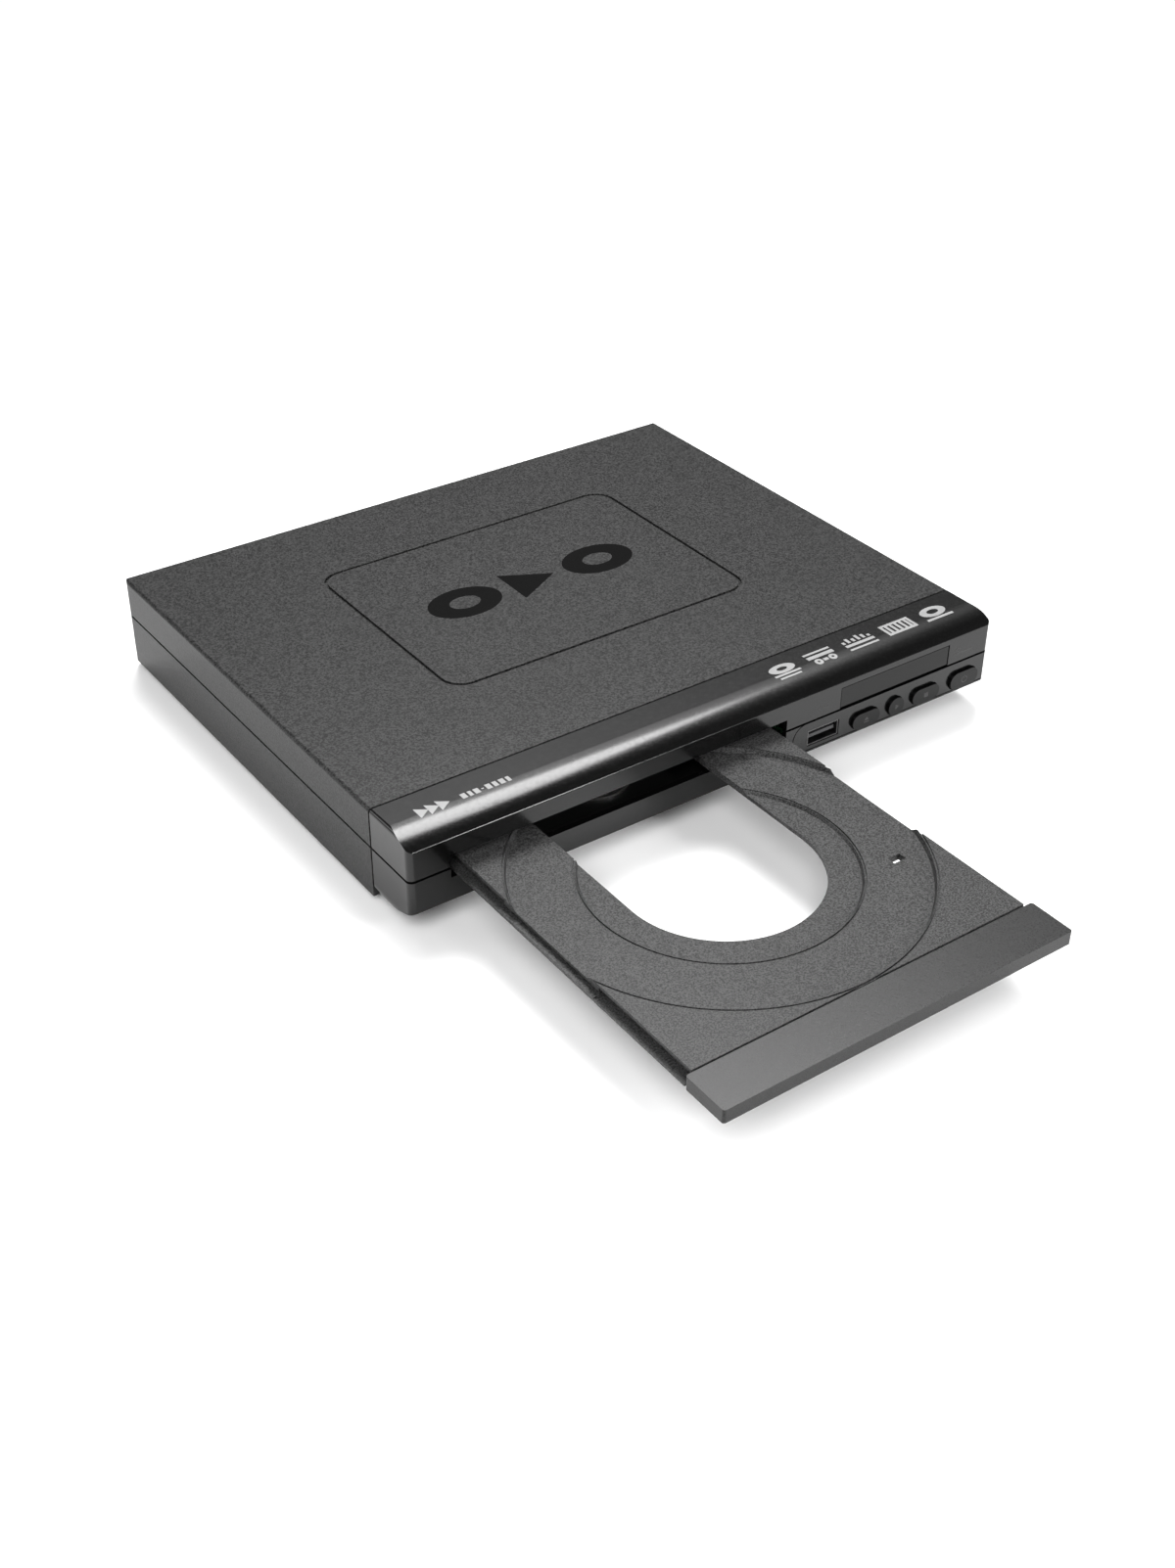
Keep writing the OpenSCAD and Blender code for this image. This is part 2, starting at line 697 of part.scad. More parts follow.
// Contact tongue of the socket, with its rear block
module usb_tongue() {
    w = usb_w - 0.2 - 2 * shell_t;
    h = usb_h - 0.2 - 2 * shell_t;
    color("dimgray") at_front() translate([usb_x, 0.3, case_z + usb_z]) {
        translate([-w / 2 + 0.6, 0.9, -0.6]) cube([w - 1.2, usb_d - 2, 1.2]);
        translate([-w / 2 + 0.05, usb_d - 4, -h / 2 + 0.05]) cube([w - 0.1, 2.9, h - 0.1]);
    }
}

module usb_board() {
    color("darkgreen") at_front() translate([usb_x - 9, 8.5, usb_board_z]) cube([17.5, 12, board_t]);
}

// Upright board behind the buttons and the window
module front_board() {
    color("darkgreen") at_front()
        translate([front_x0, front_board_y, front_board_z])
            cube([front_x1 - front_x0, board_t, roof_z - 2 - front_board_z]);
}

// Push switches behind the four buttons
module tact_switches() {
    color("silver") at_front() for (x = [eject_x, play_x, stop_x, power_x]) translate([x, 0, row_z]) {
        translate([-3, switch_y, -3]) cube([6, front_board_y - switch_y, 6]);
        translate([0, switch_y + eps, 0]) rotate([90, 0, 0])
            cylinder(h = switch_y - cap_back - cap_travel - 0.1, r = 1.7, $fn = fn_small);
    }
}

// Four digit segment display behind the window
module display_module() {
    color("whitesmoke") at_front()
        translate([window_x0 + 6.5, window_t + 1.4, window_z - 3.2])
            cube([window_w - 13, front_board_y - window_t - 1.4, 6.4]);
}

module infrared_receiver() {
    color("black") at_front() translate([window_x1 - 2, 0, window_z]) {
        translate([-2.2, 4.2, -3]) cube([4.4, front_board_y - 4.2, 6]);
        translate([0, 4.3, 0]) rotate([90, 0, 0]) cylinder(h = 1.5, r = 2, $fn = fn_small);
    }
}

module rubber_feet() {
    color("black") at_front() for (p = foot_spots) translate([p[0], p[1], 0])
        cylinder(h = foot_h, r = foot_r, $fn = fn_mid);
}

// Screw that points up, with a round head at its foot
module screw(length) {
    difference() {
        union() {
            cylinder(h = length, r = screw_r, $fn = fn_tiny);
            cylinder(h = 1.6, r = head_r, $fn = fn_small);
        }
        for (a = [0, 90]) rotate([0, 0, a]) translate([-1.6, -0.35, -1]) cube([3.2, 0.7, 1.8]);
    }
}

module case_screws() {
    color("silver") at_front() for (p = case_posts) translate([p[0], p[1], case_z + 3])
        rotate([0, 0, 45]) translate([0, 0, -1.62]) screw(split_h + 4);
}

// Round seat for a disc, with a sloping wall and a fine groove round it
module recess(r, z, top, facets) {
    drop = top - z;
    above = 0.4;
    slant = recess_slope * (drop + above) / drop;
    translate([0, disc_open, z]) cylinder(h = drop + above, r1 = r - recess_slope, r2 = r - recess_slope + slant, $fn = facets);
    translate([0, disc_open, top - 0.5]) difference() {
        cylinder(h = 0.5 + above, r = r + 0.75, $fn = facets);
        translate([0, 0, -above]) cylinder(h = 1 + 2 * above, r = r + 0.2, $fn = facets);
    }
}

// Disc tray with two recesses, a slot open to the rear, side grooves and a rack underneath
module tray() {
    mid = tray_end - tray_front;
    color("gray") at_tray() {
        difference() {
            union() {
                translate([-rim_x, tray_front + door_gap, tray_z0])
                    cube([tray_w, mid - door_gap, tray_z - tray_z0]);
                for (s = [-1, 1]) translate([s * (rim_x + ledge_x) / 2 - 2.6, tray_front + door_gap, door_z])
                    cube([5.2, mid - door_gap, ledge_t]);
                for (s = [-1, 1]) translate([s * (ledge_x - 3.6) - 1.6, tray_front + door_gap, door_z])
                    cube([3.2, mid - door_gap, tray_z0 - door_z + 0.1]);
            }
            for (s = [-1, 1]) translate([s * (rim_x + 5), 0, 0]) {
                translate([-6.2, tray_front - 1, door_z + ledge_t])
                    cube([12.4, mid + 2, disc_z - door_z - ledge_t - 0.9]);
                for (y = [tray_front - 1, disc_open + 22.5]) translate([-6.2, y, tray_z0])
                    cube([12.4, y < tray_front ? disc_open - 22.5 - y : 70, tray_z - tray_z0 - 1]);
            }
            for (s = [-1, 1]) translate([s * (ledge_x + 5), 0, door_z - 1])
                translate([-5, tray_front - 1, 0]) cube([10, mid + 2, 9]);
            recess(disc_r, disc_z, tray_z, 180);
            recess(small_r, small_z, disc_z, 160);
            translate([0, disc_open, tray_z0 - 1]) cylinder(h = 9, r = gap_r, $fn = 128);
            translate([-gap_r, disc_open, tray_z0 - 1]) cube([2 * gap_r, tray_tail + 1, 9]);
            translate([rim_x - 15.2, disc_open - 26.1, tray_z0 - 1]) cube([4.4, 2.8, 9]);
            translate([rack_x - 1.05 * gear_m - 0.1, tray_front + 1.3, tray_z0 - 1])
                cube([2 * pinion_pr + 2.4, mid + 2, rack_top - tray_z0 + 1]);
        }
        translate([rack_x, 0, door_z]) linear_extrude(rack_top - door_z + 0.01)
            rack_flat(tray_front + 1.4, tray_end - 0.2, gear_m, 3.9);
    }
}

// Door strip that closes the slot
module tray_door() {
    color("gray") at_tray() difference() {
        translate([-door_w / 2, -tray_out, door_z]) round_plate(door_w, door_d - door_gap, door_t, 0.8);
        for (s = [-1, 1]) translate([s * 30 - 10, tray_front - 5, door_z - 1]) cube([20, 9, 2]);
    }
}

// Loader frame: side walls with guide lips, a front deck for the drive and a rear beam for the hinge
module loader_frame() {
    wall = loader_wall;
    end = loader_y + loader_l;
    color("dimgray") at_tray() difference() {
        union() {
            for (s = [-1, 1]) {
                translate([s > 0 ? loader_x - wall : -loader_x, loader_y, loader_z])
                    cube([wall, loader_l, lip_top - loader_z]);
                translate([s > 0 ? rim_x - 1.9 : -loader_x + 0.1, loader_y, rail_z - 1.4])
                    cube([loader_x - rim_x + 1.8, loader_l, 1.4]);
                for (y = [30, 92, 122]) translate([s > 0 ? rim_x + 0.4 : -loader_x + 0.1, y, door_z + ledge_t + 0.3])
                    cube([loader_x - rim_x - 0.5, 12, lip_top - door_z - ledge_t - 0.3]);
            }
            translate([-loader_x, loader_y, deck_z]) cube([loader_w, deck_end - loader_y - 1, deck_t]);
            translate([-loader_x, end - 4, loader_z]) cube([loader_w, 4, 7]);
            for (p = loader_posts) translate([p[0], p[1], loader_z])
                cylinder(h = 4, r = 3.6, $fn = fn_small);
            for (s = [-1, 1]) {
                translate([s * (frame_x + 4.2) - 2.2, hinge_y - 4, loader_z])
                    cube([4.4, end - hinge_y + 2, 5.6]);
            }
            for (x = cam_guides) {
                translate([x - 3, cam_y - 2.3, deck_z - 5]) cube([6, 2, 11.5]);
                translate([x - 3, cam_y - 2.3, cam_z0 - 1.8]) cube([6, cam_t + 4, 1.5]);
                translate([x - 3, cam_y + cam_t + 0.3, cam_z0 - 1.8]) cube([6, 1.4, 3]);
                translate([x - 3, deck_end - 2, deck_z - 4]) cube([6, 2, 4 + deck_t]);
            }
            translate([pinion_x, gear_y, deck_z + deck_t - eps])
                cylinder(h = rack_top - 0.3 - deck_z - deck_t, r = stub_r, $fn = fn_small);
            translate([drive_x, gear_y, deck_z + deck_t - eps])
                cylinder(h = door_z - 0.3 - deck_z - deck_t, r = stub_r, $fn = fn_small);
            for (x = [pinion_x, drive_x]) translate([x, gear_y, deck_z + deck_t - eps])
                cylinder(h = 0.3, r = stub_r + 1.2, $fn = fn_small);
        }
        translate([-loader_x - 1, loader_y - 1, rail_z]) cube([loader_w + 2, door_d - loader_y + 2, 9]);
        translate([-loader_x - 1, loader_y - 1, 0]) cube([loader_w + 2, 9, deck_z + 0.4]);
        for (p = loader_posts) translate([p[0], p[1], loader_z + 4])
            cylinder(h = 20, r = head_r + 0.3, $fn = fn_small);
        translate([motor_x, gear_y, deck_z - 1]) cylinder(h = deck_t + 2, r = motor_r + 0.2, $fn = fn_wide);
        for (p = loader_posts) translate([p[0], p[1], loader_z - 1])
            cylinder(h = 6, r = screw_r + hole_play, $fn = fn_small);
        for (s = [-1, 1]) translate([s * (frame_x + 4.2) - 4, hinge_y, hinge_z]) rotate([0, 90, 0])
            cylinder(h = 8, r = pin_r + pin_gap, $fn = fn_mid);
        for (s = [-1, 1]) translate([s * (loader_x - 1), bridge_y - 7, lip_top - 3])
            translate([-3, 0, 0]) cube([6, 14, 9]);
    }
}

// Screws that hold the loader frame to the case
module loader_screws() {
    color("silver") at_tray() for (p = loader_posts) translate([p[0], p[1], loader_z + 5.65])
        mirror([0, 0, 1]) screw(8);
}

// Large wheel with the pinion that drives the rack
module pinion_wheel() {
    color("ivory") at_tray() translate([pinion_x, gear_y, wheel_z]) difference() {
        union() {
            linear_extrude(wheel_t) gear_flat(wheel_n, gear_m, 0);
            translate([0, 0, wheel_t - eps]) linear_extrude(rack_top - 0.2 - wheel_z - wheel_t)
                gear_flat(pinion_n, gear_m, pinion_turn);
        }
        translate([0, 0, -1]) cylinder(h = 20, r = stub_r + pin_gap, $fn = fn_mid);
    }
}

// Belt pulley with the gear that drives the large wheel
module pulley_gear() {
    color("ivory") at_tray() translate([drive_x, gear_y, wheel_z]) difference() {
        union() {
            linear_extrude(pulley_z - wheel_z + eps) gear_flat(drive_n, gear_m, 180 + 180 / drive_n);
            translate([0, 0, pulley_z - wheel_z])
                cylinder(h = pulley_t, r = pulley_r + belt_t / 2, $fn = fn_full);
        }
        translate([0, 0, pulley_z - wheel_z]) belt_groove(pulley_r);
        translate([0, 0, -1]) cylinder(h = 20, r = stub_r + pin_gap, $fn = fn_mid);
        for (a = [0:60:300]) rotate([0, 0, a]) translate([7, 0, pulley_z - wheel_z - 1])
            cylinder(h = 9, r = 2, $fn = fn_small);
    }
}

// Square belt around both pulleys
module drive_belt() {
    color("black") at_tray() translate([0, gear_y, pulley_z + pulley_t / 2 - belt_t / 2])
        linear_extrude(belt_t) difference() {
        belt_flat(belt_t / 2);
        belt_flat(0.06 - belt_t / 2);
    }
}

module belt_flat(g) {
    hull() {
        translate([drive_x, 0]) circle(pulley_r + g, $fn = fn_wide);
        translate([motor_x, 0]) circle(small_pulley + g, $fn = fn_mid);
    }
}

// Groove for the belt in a pulley of radius r
module belt_groove(r) {
    translate([0, 0, pulley_t / 2]) rotate_extrude($fn = fn_full)
        translate([r - belt_t / 2, -belt_t / 2 - 0.1])
        square([2, belt_t + 0.2]);
}

module motor_pulley() {
    color("ivory") at_tray() translate([motor_x, gear_y, pulley_z]) difference() {
        cylinder(h = pulley_t, r = small_pulley + belt_t / 2, $fn = fn_mid);
        belt_groove(small_pulley);
        translate([0, 0, -1]) cylinder(h = 9, r = 1 + pin_gap, $fn = fn_small);
    }
}

// Flat motor that hangs in the deck
module loading_motor() {
    color("silver") at_tray() translate([motor_x, gear_y, 0]) {
        translate([0, 0, motor_z]) cylinder(h = deck_z + deck_t + 0.5 - motor_z, r = motor_r, $fn = fn_wide);
        translate([0, 0, deck_z + deck_t]) cylinder(h = 0.8, r = motor_r + 1.2, $fn = fn_wide);
        translate([0, 0, deck_z + deck_t])
            cylinder(h = pulley_z + pulley_t - deck_z - deck_t, r = 1, $fn = fn_small);
    }
}

// Small limit switch on the deck, under the tray
module tray_switch() {
    color("black") at_tray() translate([34, gear_y, deck_z + deck_t]) {
        cube([8, 5, 3.6]);
        translate([3.4, 1.6, 3.5]) cube([1.2, 1.8, 1.4]);
    }
}

// Cam plate whose slanted slot lifts the traverse
module cam_slide() {
    color("ivory") at_tray() translate([0, cam_y + cam_t, 0]) rotate([90, 0, 0]) linear_extrude(cam_t)
        difference() {
        translate([-31, cam_z0]) square([62, cam_z1 - cam_z0]);
        cam_slot();
        translate([14, cam_z0 + 3]) square([8, 4]);
    }
}

module cam_slot() {
    rise = [-cam_run, cam_lift];
    long = norm(rise) + 1.2;
    r = cam_pin + 0.15;
    translate([0, cam_z]) rotate(atan2(rise[1], rise[0])) {
        translate([-0.6, -r]) square([long, 2 * r]);
        for (x = [-0.6, long - 0.6]) translate([x, 0]) circle(r, $fn = fn_small);
    }
}

// Swinging frame that carries turntable, pickup and feed drive
module traverse() {
    color("dimgray") at_tray() difference() {
        union() {
            translate([-frame_x, frame_y0, frame_z])
                round_plate(2 * frame_x, hinge_y + 1.4 - frame_y0, frame_t, 1.3);
            for (s = [-1, 1]) {
                translate([s * (frame_x - 0.2), hinge_y, hinge_z]) rotate([0, s * 90, 0])
                    cylinder(h = 6.4, r = pin_r, $fn = fn_mid);
                for (y = [rod_y0 - 2.5, rod_y1 - 4]) translate([s * rod_x - 2.6, y, frame_z - 0.4])
                    cube([5.2, 6.5, rod_z - frame_z + 2.6]);
                translate([s * (frame_x - 1) - 1, frame_y0 + 3, frame_z - 1.6])
                    cube([2, hinge_y - 10 - frame_y0, 1.7]);
            }
            translate([0, frame_y0 + 1, cam_z]) rotate([90, 0, 0])
                cylinder(h = frame_y0 - cam_y + 1, r = cam_pin, $fn = fn_small);
            translate([feed_x, feed_y, frame_z])
                cylinder(h = feed_z + 3.2 - frame_z, r = 1, $fn = fn_small);
        }
        difference() {
            translate([-gap_x, gap_y0, frame_z - 2]) cube([2 * gap_x, gap_y1 - gap_y0, 9]);
            for (s = [-1, 1], y = [rod_y0 - 2.5, rod_y1 - 4]) translate([s * rod_x - 2.6, y, frame_z - 3])
                cube([5.2, 6.5, 12]);
        }
        translate([0, disc_back, frame_z - 1]) cylinder(h = 9, r = rotor_r + 0.8, $fn = fn_full);
        translate([feed_x, feed_motor_y, frame_z - 1]) cylinder(h = 9, r = 0.9, $fn = fn_tiny);
        for (s = [-1, 1]) translate([s * rod_x, rod_y0 + 0.6, rod_z]) rotate([-90, 0, 0])
            cylinder(h = rod_y1 - rod_y0 - 1.2, r = rod_r + 0.02, $fn = fn_mid);
        for (p = damper_spots) translate([p[0], p[1], frame_z - 1])
            cylinder(h = 9, r = 3.1, $fn = fn_small);
    }
}

// Rubber buffers pressed through both sides of the traverse
module traverse_dampers() {
    color("black") at_tray() for (p = damper_spots) translate([p[0], p[1], frame_z - 1.5]) difference() {
        union() {
            cylinder(h = frame_t + 2.7, r = 3.05, $fn = fn_small);
            for (z = [0, frame_t + 1.5]) translate([0, 0, z]) cylinder(h = 1.5, r = 4.5, $fn = fn_small);
        }
        translate([0, 0, -1]) cylinder(h = frame_t + 7, r = 1.4, $fn = fn_small);
    }
}

// Spindle motor under the turntable, with its base plate
module spindle_motor() {
    color("silver") at_tray() translate([0, disc_back, 0]) {
        translate([0, 0, frame_z - 0.8]) cylinder(h = 0.8, r = rotor_r + 2, $fn = fn_wide);
        translate([0, 0, frame_z - 2.2]) cylinder(h = 1.5, r = 5, $fn = fn_mid);
        translate([0, 0, frame_z - eps])
            cylinder(h = table_z - table_t - 0.3 - frame_z, r = rotor_r, $fn = fn_wide);
        translate([0, 0, frame_z]) cylinder(h = table_z - frame_z - 0.2, r = 1, $fn = fn_small);
    }
}

// Turntable with its centring hub
module turntable() {
    color("dimgray") at_tray() translate([0, disc_back, 0]) difference() {
        union() {
            translate([0, 0, table_z - table_t]) cylinder(h = table_t, r = table_r, $fn = fn_full);
            translate([0, 0, table_z - eps]) cylinder(h = hub_h - 0.8, r = hub_r, $fn = fn_full);
            translate([0, 0, table_z + hub_h - 0.81])
                cylinder(h = 0.8, r1 = hub_r, r2 = hub_r - 0.9, $fn = fn_full);
        }
        translate([0, 0, table_z - table_t - 1])
            cylinder(h = table_t + 0.9, r = 1 + pin_gap / 2, $fn = fn_small);
    }
}

// Pickup body on its rods, with the feed rack on its side
module pickup() {
    z0 = frame_z - 1.6;
    arm_z = feed_z + 2;
    color("dimgray") at_tray() difference() {
        union() {
            translate([-14, pickup_y - pickup_l / 2, z0]) cube([28, pickup_l, rod_z + 2.6 - z0]);
            for (s = [-1, 1]) translate([s * rod_x - 3.6, pickup_y - bearing_l / 2, rod_z - 2.8])
                cube([7.2, bearing_l, s > 0 ? arm_z + 1.4 - rod_z + 2.8 : 5.2]);
            translate([-9, pickup_y - 8, rod_z + 2.5]) cube([18, 14, 1.8]);
            translate([rod_x + 2, pickup_y - 3, arm_z]) cube([rack2_x - rod_x - 2.9, 6, 1.4]);
            translate([rack2_x, feed_y, arm_z]) linear_extrude(1.5)
                rack_flat(-pickup_run - 2.4, 2.4, feed_m, 2.6);
        }
        for (s = [-1, 1]) translate([s * rod_x, pickup_y - 40, rod_z]) rotate([-90, 0, 0])
            cylinder(h = 80, r = rod_r + pin_gap, $fn = fn_mid);
        translate([0, pickup_y - 2, rod_z + 2]) cylinder(h = 5, r = 3.2, $fn = fn_mid);
    }
}

module pickup_lens() {
    color("lightblue") at_tray() translate([0, pickup_y - 2, rod_z + 2]) {
        cylinder(h = 2.6, r = 3.1, $fn = fn_mid);
        translate([0, 0, 2.6 - eps]) intersection() {
            translate([0, 0, -3.4]) sphere(r = 4, $fn = fn_mid);
            cylinder(h = 1, r = 3, $fn = fn_mid);
        }
    }
}

module guide_rods() {
    color("silver") at_tray() for (s = [-1, 1]) translate([s * rod_x, rod_y0 + 0.7, rod_z])
        rotate([-90, 0, 0])
        cylinder(h = rod_y1 - rod_y0 - 1.4, r = rod_r, $fn = fn_mid);
}

// Feed wheel with the pinion that moves the pickup
module feed_wheel() {
    color("ivory") at_tray() translate([feed_x, feed_y, feed_z]) difference() {
        union() {
            linear_extrude(1.5) gear_flat(feed_n, feed_m, 90);
            translate([0, 0, 1.5 - eps]) linear_extrude(1.7)
                gear_flat(feed_pinion, feed_m, 180 + 180 / feed_pinion);
        }
        translate([0, 0, -1]) cylinder(h = 9, r = 1 + pin_gap, $fn = fn_small);
    }
}

// Coin shaped motor under the traverse
module feed_motor() {
    color("silver") at_tray() translate([feed_x, feed_motor_y, 0]) {
        translate([0, 0, floor_z + 0.7]) cylinder(h = frame_z - floor_z - 0.7, r = 5.6, $fn = fn_mid);
        translate([0, 0, frame_z - eps]) cylinder(h = feed_z + 1.4 - frame_z, r = 0.5, $fn = fn_tiny);
    }
}

module feed_motor_gear() {
    color("gold") at_tray() translate([feed_x, feed_motor_y, feed_z]) difference() {
        linear_extrude(1.5) gear_flat(feed_motor, feed_m, 270 + 180 / feed_motor);
        translate([0, 0, -1]) cylinder(h = 9, r = 0.5 + pin_gap / 2, $fn = fn_tiny);
    }
}

// Bridge over the disc that holds the clamper
module clamp_bridge() {
    wall = loader_wall;
    color("dimgray") at_tray() difference() {
        union() {
            translate([-loader_x, bridge_y - bridge_d / 2, bridge_z])
                round_plate(loader_w, bridge_d, bridge_t, 3);
            for (s = [-1, 1]) translate([s > 0 ? loader_x - wall : -loader_x, bridge_y - 6.8, lip_top - 3])
                cube([wall, 13.6, bridge_z - lip_top + 3.5]);
        }
        translate([0, bridge_y, bridge_z - 1]) cylinder(h = 9, r = neck_r + 1, $fn = fn_full);
        for (s = [-1, 1]) translate([s * 38 - 9, bridge_y - 5, bridge_z - 1]) cube([18, 10, 9]);
    }
}

// Clamper: a puck under the bridge and a cap over it, joined by a neck
module clamper() {
    color("dimgray") at_tray() translate([0, bridge_y, clamp_z]) difference() {
        union() {
            cylinder(h = bridge_z - 0.5 - clamp_z, r = clamp_r, $fn = fn_full);
            cylinder(h = bridge_z + bridge_t + 1.4 - clamp_z, r = neck_r, $fn = fn_wide);
            translate([0, 0, bridge_z + bridge_t + 0.2 - clamp_z])
                cylinder(h = 1.3, r = cap_r, $fn = fn_wide);
        }
        translate([0, 0, -1]) cylinder(h = 3.2, r = socket_r, $fn = fn_wide);
        translate([0, 0, bridge_z + 0.6 - clamp_z]) cylinder(h = 9, r = neck_r - 1.6, $fn = fn_wide);
    }
}

module clamp_magnet() {
    color("silver") at_tray() translate([0, bridge_y, bridge_z + 0.61])
        cylinder(h = 1.8, r = neck_r - 1.66, $fn = fn_wide);
}

module board(x0, y0, x1, y1, posts) {
    color("darkgreen") at_front() difference() {
        translate([x0, y0, board_z]) cube([x1 - x0, y1 - y0, board_t]);
        for (p = posts) translate([p[0], p[1], board_z - 1])
            cylinder(h = 9, r = screw_r + hole_play, $fn = fn_tiny);
    }
}

module main_board() { board(main_x0, main_y0, main_x1, main_y1, main_posts); }
module power_board() { board(main_x0, power_y0, power_x1, power_y1, power_posts); }
module jack_board() { board(jack_x0, jack_y0, jack_x1, power_y1, jack_posts); }

module board_screws() {
    color("silver") at_front() for (p = board_posts) translate([p[0], p[1], board_top + 1.61])
        mirror([0, 0, 1]) screw(5);
}

// Disc decoder chip, a flat square package
module decoder_chip() {
    color("black") at_front() translate([main_x0 + 31 * fit_x, 62, board_top]) cube([28 * fit_r, 28, 1.6]);
}

// Finned cooler on the decoder chip
module heat_sink() {
    fin = 1.6 * fit_r;
    color("silver") at_front() translate([main_x0 + 31 * fit_x + 2 * fit_r, 64, board_top + 1.6]) {
        cube([15 * fin, 24, 1.6]);
        for (i = [0:7]) translate([2 * i * fin, 0, 0]) cube([fin, 24, 8]);
    }
}

// Memory, amplifier, driver and connector blocks on the main board
module board_chips() {
    blocks = [[9, 66, 10, 22, 1.2], [9, 92, 16, 8, 2], [35, 40, 12, 12, 1.4], [57, 40, 12, 9, 1.4], [65, 66, 8, 14, 1.2],
        [31, 96, 24, 6, 5], [7, 40, 6, 20, 5], [19, 38, 8, 5, 2]];
    color("black") at_front() translate([main_x0, 0, board_top]) {
        for (b = blocks) translate([b[0] * fit_x, b[1], 0]) cube([b[2] * fit_r, b[3], b[4]]);
        for (p = [[21, 56], [61, 56], [67, 96]]) translate([p[0] * fit_x, p[1], 0])
            cylinder(h = 7, r = 3.1 * fit_r, $fn = fn_small);
    }
}

// Wound transformer of the power supply, with its core and bobbin
module transformer() {
    x = 11 * fit_r;
    color("gold") at_front() translate([main_x0 + 26 * fit_x, power_y0 + 0.375 * power_l, board_top]) {
        translate([-x, -9, 0]) cube([2 * x, 18, 3]);
        translate([-x, -9, 14]) cube([2 * x, 18, 2.6]);
        cylinder(h = 15, r = 7.6 * fit_r, $fn = fn_mid);
        for (s = [-1, 1]) translate([s * (x - 1.5) - 1.5, -6, 2.9]) cube([3, 12, 11.2]);
    }
}

// Upright capacitors of the power supply
module filter_capacitors() {
    cans = [[51, 0.57, 7, 15], [11, 0.68, 5, 13], [23, 0.708, 4, 11], [33, 0.736, 4, 11], [11, 0.18, 5, 12]];
    color("navy") at_front() for (c = cans)
        translate([main_x0 + c[0] * fit_x, power_y0 + c[1] * power_l, board_top]) difference() {
            cylinder(h = c[3], r = c[2] * fit_r, $fn = fn_mid);
            translate([0, 0, c[3] - 0.3]) cylinder(h = 1, r = c[2] * fit_r - 0.9, $fn = fn_mid);
        }
}

// Bent sheet cooler of the switching transistor
module regulator_sink() {
    color("silver") at_front() translate([main_x0 + 45 * fit_x, power_y0 + 7, board_top]) {
        cube([20 * fit_r, 1.5, 15]);
        cube([1.5, 9, 15]);
        translate([6 * fit_r, 1.5, 1.5]) cube([8, 3.6, 11]);
    }
}

module mains_fuse() {
    color("white") at_front() translate([main_x0 + 22 * fit_x, power_y1 - 11, board_top]) {
        translate([-10 * fit_r, 0, 3.4]) rotate([0, 90, 0])
            cylinder(h = 20 * fit_r, r = 2.5, $fn = fn_small);
        for (s = [-1, 1]) translate([s * 7.5 * fit_r - 1.5, -3, 0]) cube([3, 6, 2.4]);
    }
}

// Two pin mains inlet in the rear panel
module mains_inlet() {
    y0 = rear_y - 13;
    color("black") at_front() {
        difference() {
            union() {
                translate([inlet_x - 10.5, y0, board_top]) cube([21, 13, inlet_z + 6.5 - board_top]);
                translate([inlet_x, body_d - rear_inset + 0.6, inlet_z]) pill(19, 5.4, 6);
            }
            translate([inlet_x, body_d + 1, inlet_z]) pill(15, 4, 13);
        }
        for (s = [-1, 1]) translate([inlet_x + s * 4.3, y0 + 1, inlet_z]) rotate([-90, 0, 0])
            cylinder(h = 11, r = 1.18, $fn = fn_tiny);
    }
}

// Rear panel with its socket holes and vents
module rear_panel() {
    g = plate_gap;
    color("dimgray") at_front() difference() {
        translate([g - rear_x, rear_y, rear_z0 + g])
            cube([2 * (rear_x - g), rear_t, rear_z1 - rear_z0 - 2 * g]);
        for (i = [0:3]) translate([phono_x + i * phono_gap, rear_y - 1, phono_z]) rotate([-90, 0, 0])
            cylinder(h = 9, r = phono_r + 1.1, $fn = fn_mid);
        translate([inlet_x, rear_y + 5, inlet_z]) pill(19.4, 5.6, 9);
        for (x = [tray_x + 57:3.6:inlet_x - 18]) translate([x, rear_y - 1, 12]) cube([1.6, 9, 12]);
    }
}

// Plastic block that carries the four phono sockets
module phono_block() {
    x0 = phono_x - phono_gap / 2;
    color("black") at_front() difference() {
        union() {
            translate([x0, rear_y - 12, board_top]) cube([4 * phono_gap, 11.9, phono_z + 5.5 - board_top]);
            for (i = [0:3]) translate([phono_x + i * phono_gap, rear_y - 0.2, phono_z]) rotate([-90, 0, 0])
                cylinder(h = collar_y - rear_y + 0.2, r = phono_r + 0.9, $fn = fn_mid);
        }
        for (i = [0:3]) translate([phono_x + i * phono_gap, rear_y - 3, phono_z]) rotate([-90, 0, 0])
            cylinder(h = 9, r = phono_r - 0.27, $fn = fn_mid);
    }
}

// Metal barrels of the phono sockets
module phono_barrels() {
    y0 = rear_y - 2.9;
    y1 = body_d - rear_inset + phono_out;
    color("silver") at_front() for (i = [0:3]) translate([phono_x + i * phono_gap, y0, phono_z])
        rotate([-90, 0, 0]) difference() {
        union() {
            cylinder(h = y1 - y0, r = phono_r - 0.3, $fn = fn_wide);
            translate([0, 0, collar_y - y0]) cylinder(h = y1 - collar_y, r = phono_r, $fn = fn_wide);
        }
        translate([0, 0, 3]) cylinder(h = y1 - y0, r = phono_r - phono_wall, $fn = fn_wide);
    }
}

